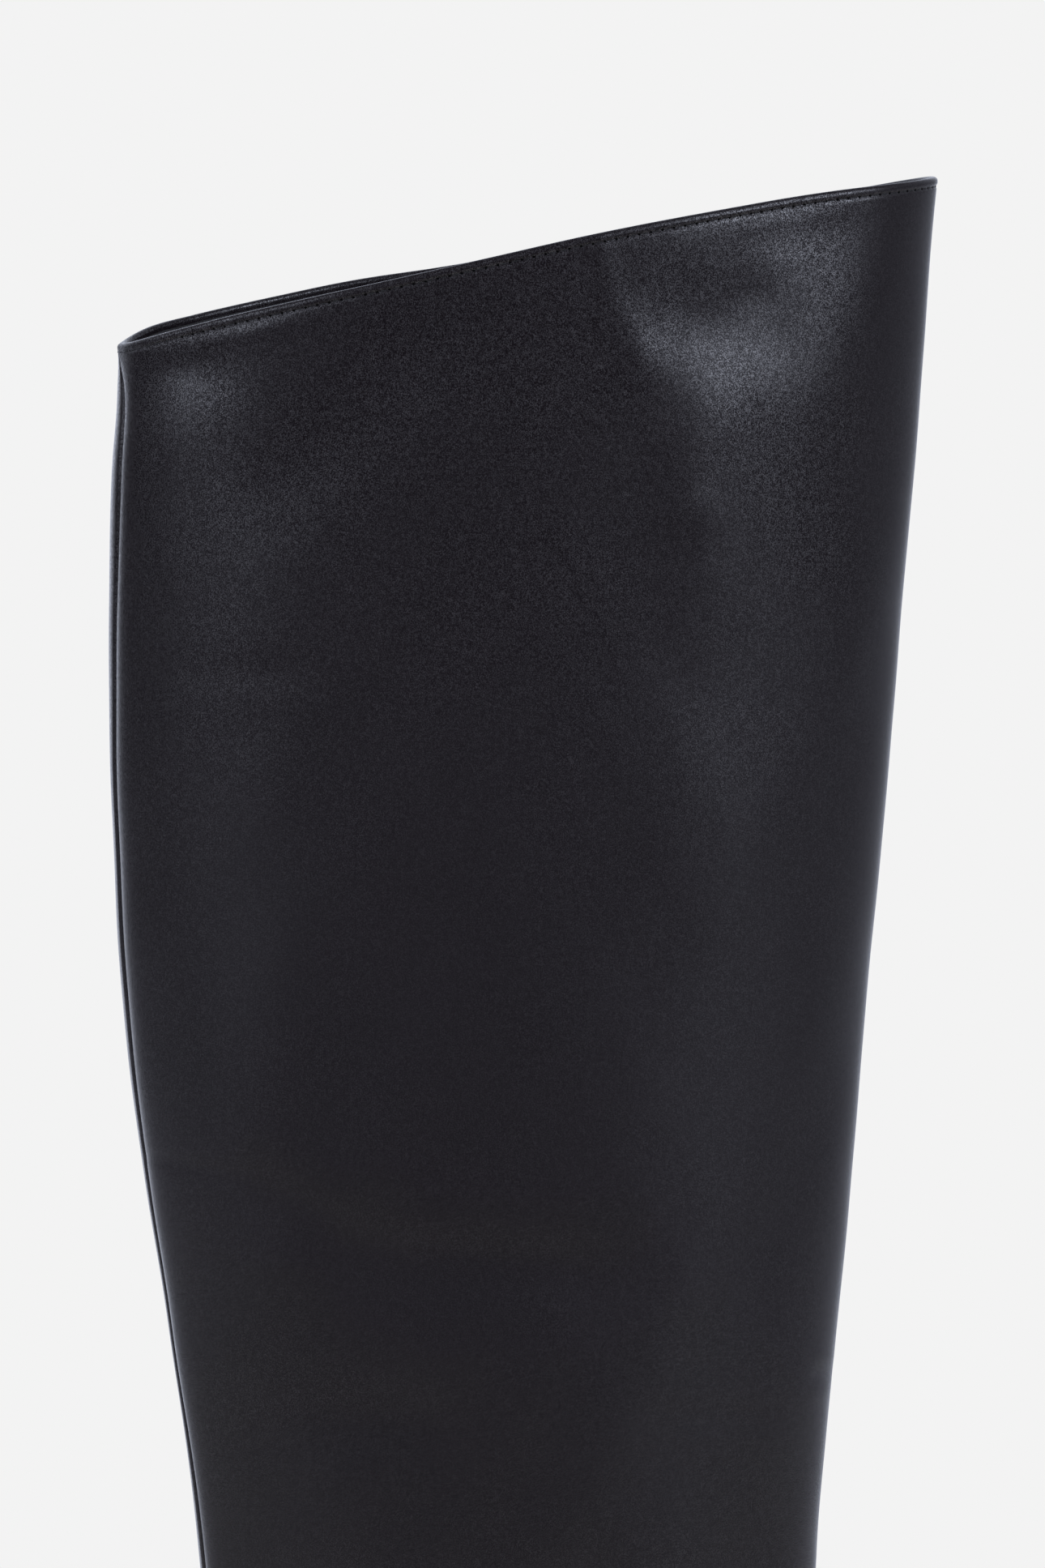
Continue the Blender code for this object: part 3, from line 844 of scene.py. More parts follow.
# Height and inset of each line round the top piece, in millimetres
TOP_PIECE_EDGE = ((0.0, 0.9), (0.25, 0.35), (0.8, 0.0), (3.0, 0.0), (TOP_PIECE_THICKNESS, 0.0))
SHARP_EDGE_DEG = 42


def heel_rows(height):
    """The heel's outline where it has climbed this share of its height: (x, outer y, inner y)."""
    outline = grown(SECTIONS[0], SOLE_MARGIN - HEEL_INSET)
    length = outline.front_x - outline.back_x
    share = end_crowded_shares(HEEL_DIVISIONS, (HEEL_BREAST_X - outline.back_x) / length)
    x, outer, inner = outline_sides(outline, share)
    along = (x - x[0]) / (x[-1] - x[0])
    pitch = HEEL_PITCH * (1 - along) - HEEL_BREAST_PITCH * along
    narrow = 1 - HEEL_NARROWING * (1 - height)
    return x + pitch * (1 - height), outer * narrow, inner * narrow


def heel_block_layers():
    """Outlines of the heel from the top piece up to the sole."""
    floor_z = TOP_PIECE_THICKNESS + FIT_GAP
    bottom_share = floor_z / HEEL_HEIGHT
    layers = []
    for share in np.linspace(0.0, 1.0, HEEL_LAYERS):
        x, outer, inner = heel_rows(bottom_share + (1 - bottom_share) * share)
        top_z = sole_underside(x) - FIT_GAP
        layers.append((x, outer, inner, floor_z + (top_z - floor_z) * share))
    return layers


def top_piece_layers():
    """Outlines of the top piece, with a softened lower edge."""
    layers = []
    for z, inset in TOP_PIECE_EDGE:
        x, outer, inner = heel_rows(z / HEEL_HEIGHT)
        x = x + inset * np.sign((x[0] + x[-1]) / 2 - x)
        shrink = 1 - inset / np.max(inner)
        layers.append((x, outer * shrink, inner * shrink, np.full_like(x, z)))
    return layers


heel = mesh_object("stacked_heel", *strip_solid(heel_block_layers()))
top_piece = mesh_object("top_piece", *strip_solid(top_piece_layers()))
for piece in (outsole, sock, heel, top_piece):
    piece.data.set_sharp_from_angle(angle=math.radians(SHARP_EDGE_DEG))
print("heel of", HEEL_LAYERS, "layers, top piece of", len(TOP_PIECE_EDGE))

# %% [markdown]
# ## Topline stitches
#
# One waxed thread runs round the topline and dips into a needle hole after each stitch. The row could be
# modelled by hand or drawn with a bump texture. A node tool was chosen: it puts a short stitch on each of
# the row's points, turned along the edge, so pitch and thread can be changed in one place.

# %% Points and thread of the stitches
STITCH_LENGTH = 2.2
THREAD_RADIUS = 0.18
STITCH_RINGS = 9
STITCH_SIDES = 8
# The share of its radius that the thread loses at its ends, its depth in the middle, and its ends' dip
END_TAPER = 0.45
MIDDLE_DEPTH = 0.06
END_DIP = 0.3


def stitch_points():
    """Position, direction and outward side of each stitch, evenly spaced along the topline."""
    where = (np.arange(STITCH_COUNT) + 0.5) / STITCH_COUNT * EDGE_LENGTH
    unwrapped = np.unwrap(np.append(ANGLES, 2 * math.pi))
    angle = np.interp(where, np.append(along_edge, EDGE_LENGTH), unwrapped)
    angle = np.where(angle > math.pi, angle - 2 * math.pi, angle)
    level = np.full_like(angle, TOP_LEVEL - STITCH_BELOW)
    place = leather_skin(angle, level)
    nearby = 2 * ANGLE_STEP
    ahead = unit(leather_skin(angle + nearby, level) - leather_skin(angle - nearby, level))
    return place, ahead, skin_normal(angle, level)


def stitch_mesh():
    """One stitch: a short thread along X that dips into the leather at both ends."""
    turn = np.linspace(0.0, 2 * math.pi, STITCH_SIDES, endpoint=False)
    points = []
    for s in np.linspace(-1.0, 1.0, STITCH_RINGS):
        radius = THREAD_RADIUS * (1 - END_TAPER * abs(s) ** 3)
        dip = -MIDDLE_DEPTH - END_DIP * s * s
        for a in turn:
            points.append((s * STITCH_LENGTH / 2, radius * math.cos(a), dip + radius * math.sin(a)))
    first_end = tuple(range(STITCH_SIDES))[::-1]
    last_end = tuple(range(len(points) - STITCH_SIDES, len(points)))
    faces = ring_faces(STITCH_RINGS, STITCH_SIDES) + [first_end, last_end]
    mesh = bpy.data.meshes.new("stitch")
    mesh.from_pydata((np.array(points) * MM).tolist(), [], faces)
    mesh.shade_smooth()
    return bpy.data.objects.new("stitch", mesh)


places, directions, outwards = stitch_points()
print(len(places), "stitches of", STITCH_RINGS * STITCH_SIDES, "points each")


# %% The stitching tool
def stitch_tool(stitch, material):
    """A node tool that puts the stitch on every point, X along 'ahead' and Z along 'out'."""
    tree = bpy.data.node_groups.new("row_of_stitches", "GeometryNodeTree")
    tree.interface.new_socket("Geometry", in_out="INPUT", socket_type="NodeSocketGeometry")
    size = tree.interface.new_socket("Thread size", in_out="INPUT", socket_type="NodeSocketFloat")
    tree.interface.new_socket("Geometry", in_out="OUTPUT", socket_type="NodeSocketGeometry")
    size.default_value = 1.0
    add = tree.nodes.new
    start, end = add("NodeGroupInput"), add("NodeGroupOutput")
    thread = add("GeometryNodeObjectInfo")
    thread.inputs["Object"].default_value = stitch
    ahead, out = add("GeometryNodeInputNamedAttribute"), add("GeometryNodeInputNamedAttribute")
    for node, name in ((ahead, "ahead"), (out, "out")):
        node.data_type = "FLOAT_VECTOR"
        node.inputs["Name"].default_value = name
    turn_x, turn_z = add("FunctionNodeAlignRotationToVector"), add("FunctionNodeAlignRotationToVector")
    turn_x.axis, turn_z.axis, turn_z.pivot_axis = "X", "Z", "X"
    copies, real = add("GeometryNodeInstanceOnPoints"), add("GeometryNodeRealizeInstances")
    colour, smooth = add("GeometryNodeSetMaterial"), add("GeometryNodeSetShadeSmooth")
    colour.inputs["Material"].default_value = material
    link = tree.links.new
    link(ahead.outputs["Attribute"], turn_x.inputs["Vector"])
    link(turn_x.outputs["Rotation"], turn_z.inputs["Rotation"])
    link(out.outputs["Attribute"], turn_z.inputs["Vector"])
    link(start.outputs["Geometry"], copies.inputs["Points"])
    link(thread.outputs["Geometry"], copies.inputs["Instance"])
    link(turn_z.outputs["Rotation"], copies.inputs["Rotation"])
    link(start.outputs["Thread size"], copies.inputs["Scale"])
    link(copies.outputs["Instances"], real.inputs["Geometry"])
    link(real.outputs["Geometry"], smooth.inputs["Geometry"])
    link(smooth.outputs["Geometry"], colour.inputs["Geometry"])
    link(colour.outputs["Geometry"], end.inputs["Geometry"])
    return tree, size.identifier


# %% [markdown]
# ## Materials
#
# Image textures could carry the finish, but node groups on the boot's own coordinates stay sharp at every
# distance and need no unwrapping. The grain group gives the leather its small winding grain, the stitch
# group draws the needle holes from two numbers that the leather's points carry, and each material then
# decides how strongly to use them. The calf paints the needle holes near black as their shade.

# %% Node helpers
class Nodes:
    """Short ways to add and join nodes in one tree."""

    def __init__(self, tree):
        self.tree = tree

    def add(self, kind, values=None, **settings):
        node = self.tree.nodes.new(kind)
        for name, value in settings.items():
            setattr(node, name, value)
        for name, value in (values or {}).items():
            self.give(node.inputs[name], value)
        return node

    def give(self, socket, value):
        if isinstance(value, bpy.types.NodeSocket):
            self.tree.links.new(value, socket)
        else:
            socket.default_value = value

    def math(self, operation, *values, clamp=False):
        node = self.add("ShaderNodeMath", operation=operation, use_clamp=clamp)
        for socket, value in zip(node.inputs, values):
            self.give(socket, value)
        return node.outputs[0]

    def vector(self, operation, *values):
        node = self.add("ShaderNodeVectorMath", operation=operation)
        for socket, value in zip(node.inputs, values):
            self.give(socket, value)
        return node.outputs["Value" if operation == "LENGTH" else "Vector"]

    def noise(self, vector, scale, detail=2.0, roughness=0.5):
        values = {"Vector": vector, "Scale": scale, "Detail": detail, "Roughness": roughness}
        return self.add("ShaderNodeTexNoise", values).outputs["Fac"]

    def ranged(self, value, low, high, new_low=0.0, new_high=1.0, smooth=True):
        values = {"Value": value, "From Min": low, "From Max": high, "To Min": new_low, "To Max": new_high}
        easing = "SMOOTHSTEP" if smooth else "LINEAR"
        return self.add("ShaderNodeMapRange", values, interpolation_type=easing).outputs["Result"]

    def blended(self, factor, a, b):
        node = self.add("ShaderNodeMix", data_type="FLOAT")
        for i, given in ((0, factor), (2, a), (3, b)):
            self.give(node.inputs[i], given)
        return node.outputs[0]

    def mixed(self, factor, a, b):
        """A mix of two colours, each a socket or its red, green and blue."""
        node = self.add("ShaderNodeMix", data_type="RGBA")
        self.give(node.inputs[0], factor)
        for i, given in ((6, a), (7, b)):
            self.give(node.inputs[i], (*given, 1.0) if isinstance(given, tuple) else given)
        return node.outputs[2]


def new_group(name, inputs, outputs):
    """A shader node group with float and vector inputs, as (tree, helper, input node, output node)."""
    tree = bpy.data.node_groups.new(name, "ShaderNodeTree")
    for label, kind, value in inputs:
        socket = tree.interface.new_socket(label, in_out="INPUT", socket_type="NodeSocket" + kind)
        if value is not None:
            socket.default_value = value
    for label, kind in outputs:
        tree.interface.new_socket(label, in_out="OUTPUT", socket_type="NodeSocket" + kind)
    n = Nodes(tree)
    return tree, n, n.add("NodeGroupInput"), n.add("NodeGroupOutput")


# %% The grain of the leather
WINDING_PER_CELL = 1.5
WINDING_RANGE = (0.36, 0.60)
PEBBLE_GAP = 0.12
PORES_PER_METRE = 4200.0
PORE_SHARE = 0.2
CLUMPS_PER_METRE = 1100.0
CLUMP_SHINE = (0.65, 1.35)
STAINS_PER_METRE = 45.0
HOLLOW_SHINE, TOP_SHINE, EVEN_SHINE = 0.05, 0.85, 0.335


def grain_group():
    """Winding grain. Height and Shine follow it, Tone is a slow change of colour. All are 0 to 1.

    Openness 1 has the full contrast between the shining tops and the dull hollows, and 0 has none."""
    tree, n, start, end = new_group(
        "leather_grain",
        (("Vector", "Vector", None), ("Cells per metre", "Float", 2400.0), ("Openness", "Float", 1.0)),
        (("Height", "Float"), ("Shine", "Float"), ("Tone", "Float")),
    )
    place, scale = start.outputs["Vector"], start.outputs["Cells per metre"]
    winding_scale = n.math("MULTIPLY", scale, WINDING_PER_CELL)
    worms = n.ranged(n.noise(place, winding_scale, 0.0), *WINDING_RANGE)
    gaps = n.add("ShaderNodeTexVoronoi", {"Vector": place, "Scale": scale}, feature="DISTANCE_TO_EDGE")
    pebble = n.ranged(gaps.outputs["Distance"], 0.0, PEBBLE_GAP)
    pores = n.noise(place, PORES_PER_METRE, 2.0, 0.6)
    n.give(end.inputs["Height"], n.blended(PORE_SHARE, worms, pores))
    tops = n.math("MULTIPLY", pebble, n.ranged(worms, 0.0, 1.0, HOLLOW_SHINE, TOP_SHINE, smooth=False))
    clumps = n.ranged(n.noise(place, CLUMPS_PER_METRE, 1.0), 0.33, 0.67, *CLUMP_SHINE, smooth=False)
    tops = n.math("MULTIPLY", tops, clumps)
    n.give(end.inputs["Shine"], n.blended(start.outputs["Openness"], EVEN_SHINE, tops))
    n.give(end.inputs["Tone"], n.ranged(n.noise(place, STAINS_PER_METRE, 4.0, 0.6), 0.3, 0.7))
    return tree


GRAIN = grain_group()
print("node group:", GRAIN.name)

# %% The needle holes
HOLE_HALF_LENGTH = 0.36
HOLE_HALF_HEIGHT = 0.26


def stitch_hole_group():
    """The needle hole between two stitches, from the count of stitches and the distance to their line.

    Where its Hole mask is, the calf paints the hole's shade near black.
    """
    tree, n, start, end = new_group(
        "stitch_holes",
        (("Count", "Float", None), ("Distance", "Float", None), ("Pitch", "Float", STITCH_PITCH)),
        (("Hole", "Float"), ("Pull", "Float")),
    )
    whole = n.math("ROUND", start.outputs["Count"])
    along = n.math("MULTIPLY", n.math("SUBTRACT", start.outputs["Count"], whole), start.outputs["Pitch"])
    along = n.math("POWER", n.math("DIVIDE", along, HOLE_HALF_LENGTH), 2.0)
    across = n.math("POWER", n.math("DIVIDE", start.outputs["Distance"], HOLE_HALF_HEIGHT), 2.0)
    oval = n.math("SQRT", n.math("ADD", along, across))
    n.give(end.inputs["Hole"], n.ranged(oval, 0.7, 1.15, 1.0, 0.0))
    n.give(end.inputs["Pull"], n.ranged(oval, 0.6, 2.4, 1.0, 0.0))
    return tree


HOLES = stitch_hole_group()
print("node group:", HOLES.name)


# %% Starting a material
def start_material(name):
    """A new material, with its node helper, its shader and the boot's own coordinates."""
    material = bpy.data.materials.new(name)
    material.use_nodes = True
    n = Nodes(material.node_tree)
    shader = material.node_tree.nodes["Principled BSDF"]
    place = n.add("ShaderNodeTexCoord").outputs["Object"]
    return material, n, shader, place


def grain(n, place, cells_per_metre, openness=1.0):
    """Height, shine and tone of the grain."""
    values = {"Vector": place, "Cells per metre": cells_per_metre, "Openness": openness}
    made = n.add("ShaderNodeGroup", values, node_tree=GRAIN).outputs
    return made["Height"], made["Shine"], made["Tone"]


def bump(n, height, strength, distance_mm, normal=None):
    """A normal that follows a height, on top of another normal where one is given."""
    node = n.add("ShaderNodeBump", {"Strength": strength, "Distance": distance_mm * MM, "Height": height})
    if normal is not None:
        n.give(node.inputs["Normal"], normal)
    return node.outputs["Normal"]


# %% [markdown]
# ## Calf for the upper
#
# Black calf is dyed through and polished. The polish lies on the tops of the grain and not in its hollows,
# so a coat whose weight follows the grain was chosen over a plain roughness. The hollows are also coloured
# darker, as painted shade. Towards the top the grain is open and glitters, and lower down and on the front
# of the boot it is closed and even.

# %% Black calf
CALF_CELLS_PER_METRE = 2700.0
# The grain is drawn out along the shaft
CALF_STRETCH = (1.0, 1.0, 0.8)
CALF_DYE = ((0.0163, 0.0109, 0.0134), (0.0196, 0.0132, 0.0163))
# Painted shade: the grain's hollows are coloured darker than the dye
CALF_HOLLOW_SHADE = (0.0090, 0.0060, 0.0078)
# Painted shade: the colour of the needle holes, near black for the shade inside them
HOLE_PAINTED_SHADE = (0.0005, 0.0005, 0.0005)
# Metres along Z and X between which the grain opens and closes
OPENS_UPWARDS = (0.30, 0.45)
CLOSES_FORWARDS = (0.016, 0.034)
PATCHES_PER_METRE = 30.0


def upper_leather():
    """Smooth black calf. Each pebble of the grain carries the polish, and the gaps between stay dull.

    The gaps are coloured darker, and the needle holes near black, as painted shade.
    """
    material, n, shader, place = start_material("black_calf")
    axes = n.add("ShaderNodeSeparateXYZ", {"Vector": place}).outputs
    patches = n.ranged(n.noise(place, PATCHES_PER_METRE), 0.35, 0.65, 0.75, 1.1)
    openness = n.math("MULTIPLY", n.ranged(axes["Z"], *OPENS_UPWARDS, 0.35, 1.0), patches)
    openness = n.math("MULTIPLY", openness, n.ranged(axes["X"], *CLOSES_FORWARDS, 1.0, 0.3))
    drawn_out = n.vector("MULTIPLY", place, CALF_STRETCH)
    height, shine, tone = grain(n, drawn_out, CALF_CELLS_PER_METRE, openness)
    count = n.add("ShaderNodeAttribute", attribute_name="stitch_phase").outputs["Fac"]
    distance = n.add("ShaderNodeAttribute", attribute_name="from_stitch").outputs["Fac"]
    holes = n.add("ShaderNodeGroup", {"Count": count, "Distance": distance}, node_tree=HOLES).outputs
    hole, pull = holes["Hole"], holes["Pull"]
    # The dye's slow tone, darkened in the grain's hollows as painted shade
    dye_and_hollow_shade = n.mixed(shine, CALF_HOLLOW_SHADE, n.mixed(tone, *CALF_DYE))
    # The needle holes are coloured near black as painted shade
    n.give(shader.inputs["Base Color"], n.mixed(hole, dye_and_hollow_shade, HOLE_PAINTED_SHADE))
    n.give(shader.inputs["Roughness"], n.math("ADD", 0.26, n.math("MULTIPLY", hole, 0.6), clamp=True))
    shader.inputs["Specular IOR Level"].default_value = 0.1
    polish = n.math("MULTIPLY", shine, n.math("SUBTRACT", 1.0, hole))
    n.give(shader.inputs["Coat Weight"], polish)
    shader.inputs["Coat Roughness"].default_value = 0.25
    shader.inputs["Coat IOR"].default_value = 1.88
    pulled = bump(n, n.math("SUBTRACT", 1.0, pull), 0.5, 0.3)
    n.give(shader.inputs["Normal"], bump(n, height, 0.25, 0.1, pulled))
    return material


CALF = upper_leather()
print("material:", CALF.name)

# %% [markdown]
# ## Finishes of the other pieces
#
# Lining, sock and sole are plain leathers that differ in colour, grain size and sheen, so one recipe makes
# all three. The heel is a stack of leather layers: their joints could be modelled, but they are thinner
# than a hair, so they are drawn as lines. The top piece is moulded rubber, and the thread is twisted.

# %% Plain leather, stacked leather, rubber and thread
LAYER_THICKNESS = 4.2
LAYER_WOBBLE = 0.9
WOBBLES_PER_METRE = 60.0
STACK_CELLS_PER_METRE = 1800.0
SPECKLES_PER_METRE = 2600.0
TWISTS_PER_METRE = 900.0
STACK_DYE = ((0.0085, 0.008, 0.0078), (0.014, 0.013, 0.0125))
RUBBER_BLACK = ((0.012, 0.012, 0.012), (0.02, 0.02, 0.02))
THREAD_BLACK = ((0.004, 0.004, 0.005), (0.010, 0.010, 0.011))


def plain_leather(name, dark, light, cells_per_metre, roughness, grain_strength):
    """Leather for lining, sock and sole, with its own colours, grain size and sheen."""
    material, n, shader, place = start_material(name)
    height, _, tone = grain(n, place, cells_per_metre)
    n.give(shader.inputs["Base Color"], n.mixed(tone, dark, light))
    n.give(shader.inputs["Roughness"], n.math("ADD", n.math("MULTIPLY", tone, 0.1), roughness))
    n.give(shader.inputs["Normal"], bump(n, height, grain_strength, 0.1))
    return material


def stacked_leather():
    """Layers of leather pressed on each other, stained black and waxed."""
    material, n, shader, place = start_material("stacked_leather")
    height, _, tone = grain(n, place, STACK_CELLS_PER_METRE)
    z = n.add("ShaderNodeSeparateXYZ", {"Vector": place}).outputs["Z"]
    wobble = n.math("SUBTRACT", n.noise(place, WOBBLES_PER_METRE), 0.5)
    wobble = n.math("MULTIPLY", wobble, LAYER_WOBBLE * MM)
    layer = n.math("FRACT", n.math("DIVIDE", n.math("ADD", z, wobble), LAYER_THICKNESS * MM))
    from_joint = n.math("ABSOLUTE", n.math("SUBTRACT", layer, 0.5))
    line = n.ranged(from_joint, 0.0, 0.07, 1.0, 0.0)
    n.give(shader.inputs["Base Color"], n.mixed(tone, *STACK_DYE))
    n.give(shader.inputs["Roughness"], n.math("ADD", n.math("MULTIPLY", line, 0.25), 0.34))
    relief = n.math("SUBTRACT", n.math("MULTIPLY", height, 0.25), line)
    n.give(shader.inputs["Normal"], bump(n, relief, 0.5, 0.08))
    return material


def heel_rubber():
    """Matt black rubber with a fine moulded surface."""
    material, n, shader, place = start_material("heel_rubber")
    speckle = n.noise(place, SPECKLES_PER_METRE, 3.0, 0.6)
    n.give(shader.inputs["Base Color"], n.mixed(speckle, *RUBBER_BLACK))
    n.give(shader.inputs["Roughness"], n.ranged(speckle, 0.2, 0.8, 0.62, 0.8))
    n.give(shader.inputs["Normal"], bump(n, speckle, 0.3, 0.08))
    return material


def waxed_thread():
    """Black waxed thread, twisted."""
    material, n, shader, place = start_material("waxed_thread")
    wave = n.add("ShaderNodeTexWave", {"Vector": place, "Scale": TWISTS_PER_METRE, "Distortion": 1.0})
    twist = wave.outputs["Fac"]
    n.give(shader.inputs["Base Color"], n.mixed(twist, *THREAD_BLACK))
    shader.inputs["Roughness"].default_value = 0.55
    n.give(shader.inputs["Normal"], bump(n, twist, 0.4, 0.05))
    return material


LINING = plain_leather("lining_leather", (0.010, 0.009, 0.009), (0.016, 0.015, 0.015), 900.0, 0.55, 0.2)
SOCK = plain_leather("sock_leather", (0.014, 0.012, 0.011), (0.022, 0.02, 0.019), 1000.0, 0.6, 0.25)
SOLE = plain_leather("sole_leather", (0.010, 0.0095, 0.009), (0.016, 0.015, 0.0145), 2200.0, 0.38, 0.22)
STACK = stacked_leather()
RUBBER = heel_rubber()
THREAD = waxed_thread()
print("materials:", ", ".join(m.name for m in (LINING, SOCK, SOLE, STACK, RUBBER, THREAD)))

# %% Make the stitches
stitches = mesh_object("topline_stitches", places, [])
for name, vectors in (("ahead", directions), ("out", outwards)):
    attribute = stitches.data.attributes.new(name, "FLOAT_VECTOR", "POINT")
    attribute.data.foreach_set("vector", vectors.astype(np.float32).ravel())
tool, thread_size = stitch_tool(stitch_mesh(), THREAD)
row = stitches.modifiers.new("row_of_stitches", "NODES")
row.node_group = tool
row[thread_size] = 1.0
bpy.context.view_layer.update()
made = bpy.data.meshes.new_from_object(stitches.evaluated_get(bpy.context.evaluated_depsgraph_get()))
stitches.modifiers.clear()
stitches.data = made
stitches.data.name = "topline_stitches"
print("stitches of", len(made.vertices), "points in all")

# %% Put the pieces on the boot
take_place(leather, "black_leather", CALF, "upper")
take_place(lining, "black_leather", LINING)
take_place(stitches, "black_leather", THREAD)
take_place(sock, "sock_leather", SOCK, "insole")
take_place(outsole, "sole_leather", SOLE, "outsole")
take_place(heel, "heel_stack", STACK, "heel_block")
take_place(top_piece, "heel_rubber", RUBBER, "heel_top_piece")

# %% [markdown]
# ## Floor, light and camera
#
# The boot stands in a white studio. Area lights could light it, but polished leather would show their hard
# edges, so the room itself gives the light. To the camera it is an even pale grey. To the leather it is a
# ring of light and dark: dim towards the camera, a large soft light on either side, and white behind. A
# ramp over the compass direction holds that ring.

# %% Floor
FLOOR_RADIUS = 1.15
FLOOR_SIDES = 96
FLOOR_DROP = 0.2
FLOOR_PAINT = (0.90, 0.86, 0.75, 1.0)
FLOOR_GLOW = 0.4
# Metres from the boot between which the floor fades into the room
FLOOR_FADE = (0.35, 1.1)
BLACK, WHITE = (0.0, 0.0, 0.0), (1.0, 1.0, 1.0)


def floor_disc():
    """A pale floor that fades into the room. Its glow reaches the camera and not the leather."""
    turn = np.linspace(0.0, 2 * math.pi, FLOOR_SIDES, endpoint=False)
    mesh = bpy.data.meshes.new("studio_floor")
    rim = [(FLOOR_RADIUS * math.cos(a), FLOOR_RADIUS * math.sin(a), -FLOOR_DROP * MM) for a in turn]
    mesh.from_pydata(rim, [], [tuple(range(len(rim)))])
    disc = bpy.data.objects.new("studio_floor", mesh)
    scene.collection.objects.link(disc)
    material, n, shader, place = start_material("studio_floor")
    shader.inputs["Base Color"].default_value = FLOOR_PAINT
    shader.inputs["Roughness"].default_value = 0.9
    shader.inputs["Specular IOR Level"].default_value = 0.2
    shader.inputs["Emission Strength"].default_value = FLOOR_GLOW
    seen = n.add("ShaderNodeLightPath").outputs["Is Camera Ray"]
    n.give(shader.inputs["Emission Color"], n.mixed(seen, BLACK, WHITE))
    n.give(shader.inputs["Alpha"], n.ranged(n.vector("LENGTH", place), *FLOOR_FADE, 1.0, 0.0))
    mesh.materials.append(material)
    return disc


floor_disc()
print("floor of %.2f m radius" % FLOOR_RADIUS)


# %% Studio light
class RingLight(NamedTuple):
    """How bright the studio is in one compass direction, low down, at eye level and high up.

    0 degrees is the camera's side and 90 degrees the toe's side."""

    degrees: float
    low: float
    level: float
    high: float


RING = (
    RingLight(-180.0, 0.80, 1.10, 1.00),
    RingLight(-172.0, 1.00, 1.30, 1.20),
    RingLight(-160.0, 1.00, 1.45, 1.20),
    RingLight(-150.0, 0.90, 1.35, 1.00),
    RingLight(-142.0, 0.70, 0.90, 0.80),
    RingLight(-134.0, 0.50, 0.32, 0.60),
    RingLight(-126.0, 0.42, 0.16, 0.50),
    RingLight(-110.0, 0.40, 0.14, 0.50),
    RingLight(-85.0, 0.42, 0.22, 0.90),
    RingLight(-60.0, 0.38, 0.38, 2.20),
    RingLight(-44.0, 0.30, 0.41, 2.00),
    RingLight(-33.0, 0.24, 0.27, 0.60),
    RingLight(-24.0, 0.24, 0.26, 0.40),
    RingLight(0.0, 0.22, 0.24, 0.36),
    RingLight(25.0, 0.24, 0.26, 0.44),
    RingLight(33.0, 0.32, 0.34, 3.40),
    RingLight(45.0, 0.46, 0.52, 4.70),
    RingLight(52.0, 0.46, 0.47, 2.80),
    RingLight(58.0, 0.44, 0.37, 0.50),
    RingLight(78.0, 0.42, 0.24, 0.40),
    RingLight(100.0, 0.40, 0.28, 0.40),
    RingLight(138.0, 0.42, 0.34, 0.50),
    RingLight(152.0, 0.60, 0.70, 0.80),
    RingLight(165.0, 0.80, 1.10, 1.00),
    RingLight(180.0, 0.80, 1.10, 1.00),
)
HEIGHTS_DEG = {"low": -14.0, "rise": 3.0, "high": 20.0, "top": 75.0}
OVERHEAD = 0.25
LIGHT_TINT = (0.94, 1.0, 1.18)
BACKGROUND = (0.896, 0.896, 0.896)


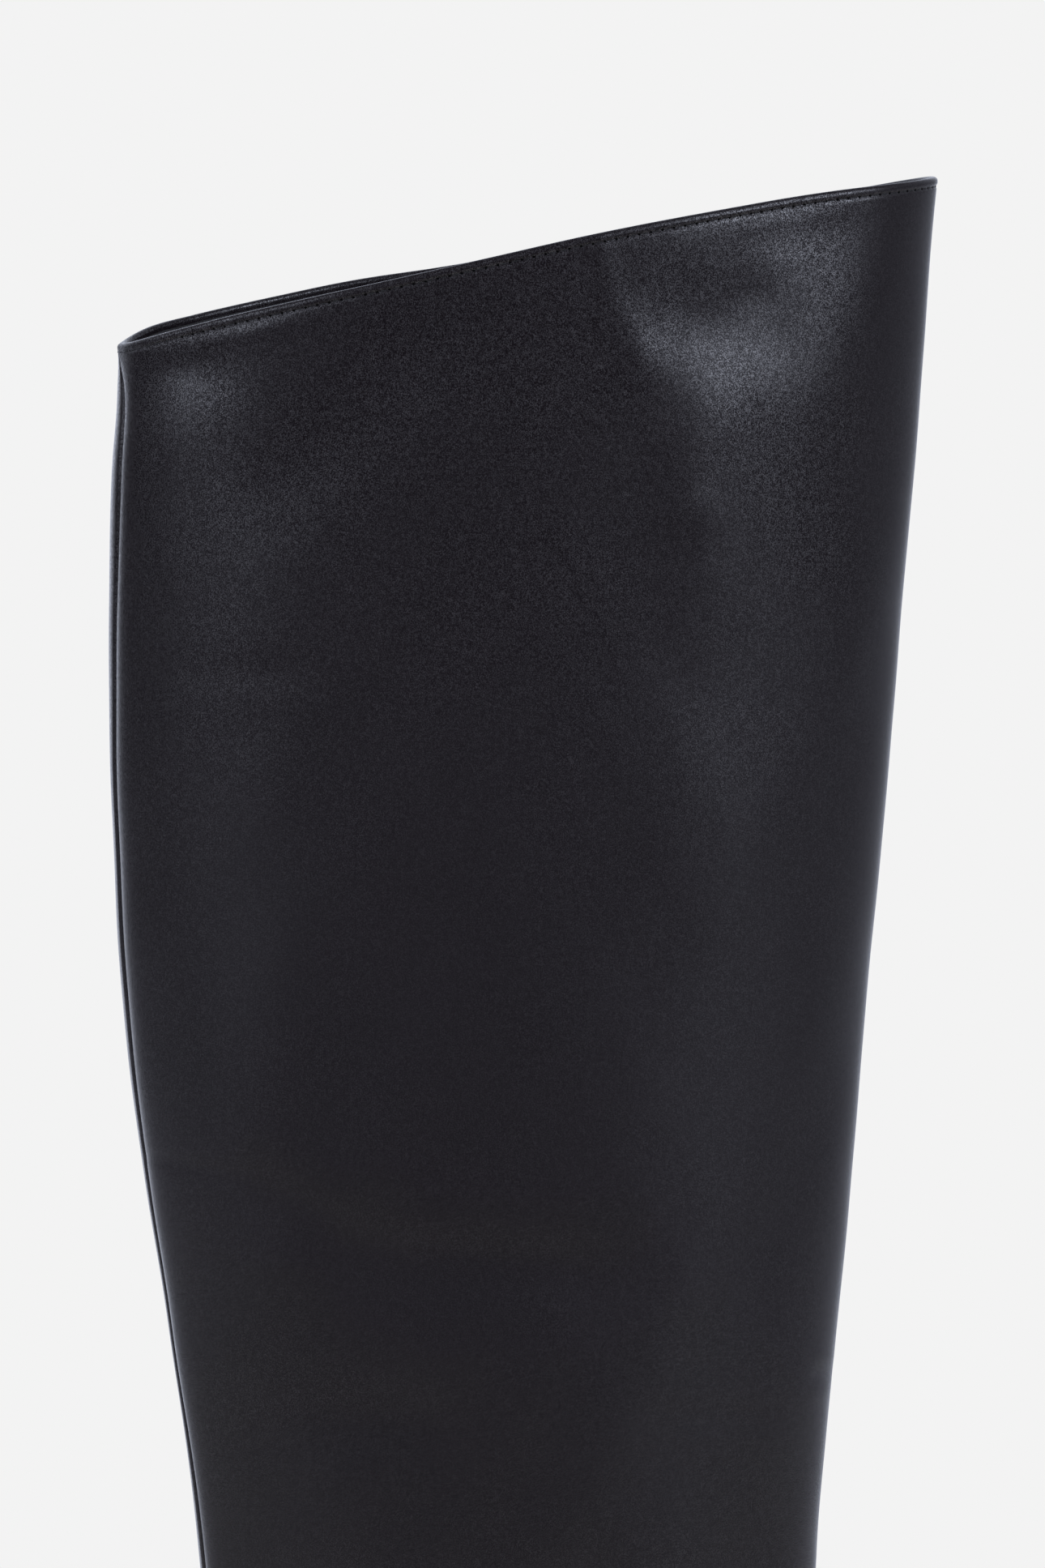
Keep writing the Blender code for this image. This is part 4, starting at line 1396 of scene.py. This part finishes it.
def studio_world():
    """A world whose brightness follows the ring table, seen as plain pale grey by the camera."""
    world = bpy.data.worlds.new("studio")
    scene.world = world
    world.use_nodes = True
    n = Nodes(world.node_tree)
    shader = world.node_tree.nodes["Background"]
    way = n.add("ShaderNodeTexCoord").outputs["Generated"]
    parts = n.add("ShaderNodeSeparateXYZ", {"Vector": way})
    height = parts.outputs["Z"]
    compass = n.math("ARCTAN2", parts.outputs["X"], n.math("MULTIPLY", parts.outputs["Y"], -1.0))
    ramp = n.add("ShaderNodeValToRGB", {"Fac": n.ranged(compass, -math.pi, math.pi, smooth=False)})
    stops = ramp.color_ramp.elements
    while len(stops) > 1:
        stops.remove(stops[-1])
    for i, light in enumerate(RING):
        position = (light.degrees + 180.0) / 360.0
        stop = stops[0] if i == 0 else stops.new(position)
        stop.position = position
        stop.color = (light.low, light.level, light.high, 1.0)
    ramp.color_ramp.interpolation = "EASE"
    ring = n.add("ShaderNodeSeparateColor", {"Color": ramp.outputs["Color"]})
    sine = {name: math.sin(math.radians(value)) for name, value in HEIGHTS_DEG.items()}
    low = n.ranged(height, 0.0, sine["low"])
    high = n.ranged(height, sine["rise"], sine["high"])
    top = n.ranged(height, sine["high"], sine["top"])
    level = n.blended(low, ring.outputs["Green"], ring.outputs["Red"])
    brightness = n.blended(top, n.blended(high, level, ring.outputs["Blue"]), OVERHEAD)
    room = n.add("ShaderNodeVectorMath", {"Scale": brightness}, operation="SCALE")
    n.give(room.inputs[0], LIGHT_TINT)
    seen = n.add("ShaderNodeLightPath").outputs["Is Camera Ray"]
    n.give(shader.inputs["Color"], n.mixed(seen, room.outputs["Vector"], BACKGROUND))


studio_world()
scene.view_settings.view_transform = "Standard"
print("studio with", len(RING), "lights in its ring")

# %% Camera
SENSOR = 36.0
MM_PER_PIXEL = 0.18
FRAME_HEIGHT = 1935
DISTANCE = 2700.0
AZIMUTH_DEG = -8.0
ELEVATION_DEG = 4.0
AIM = np.array([89.8, 0.0, 345.1])

azimuth, elevation = math.radians(AZIMUTH_DEG), math.radians(ELEVATION_DEG)
towards_camera = Vector((
    math.sin(azimuth) * math.cos(elevation),
    -math.cos(azimuth) * math.cos(elevation),
    math.sin(elevation),
))
lens = bpy.data.cameras.new("side_view")
lens.sensor_width = SENSOR
lens.lens = SENSOR * DISTANCE / (FRAME_HEIGHT * MM_PER_PIXEL)
lens.clip_start, lens.clip_end = 0.1, 50.0
camera = bpy.data.objects.new("side_view", lens)
scene.collection.objects.link(camera)
camera.location = Vector((AIM - FRAME_ORIGIN) * MM) + towards_camera * DISTANCE * MM
camera.rotation_mode = "QUATERNION"
camera.rotation_quaternion = (-towards_camera).to_track_quat("-Z", "Y")
scene.camera = camera
print("lens %.0f mm at %.2f m" % (lens.lens, DISTANCE * MM))
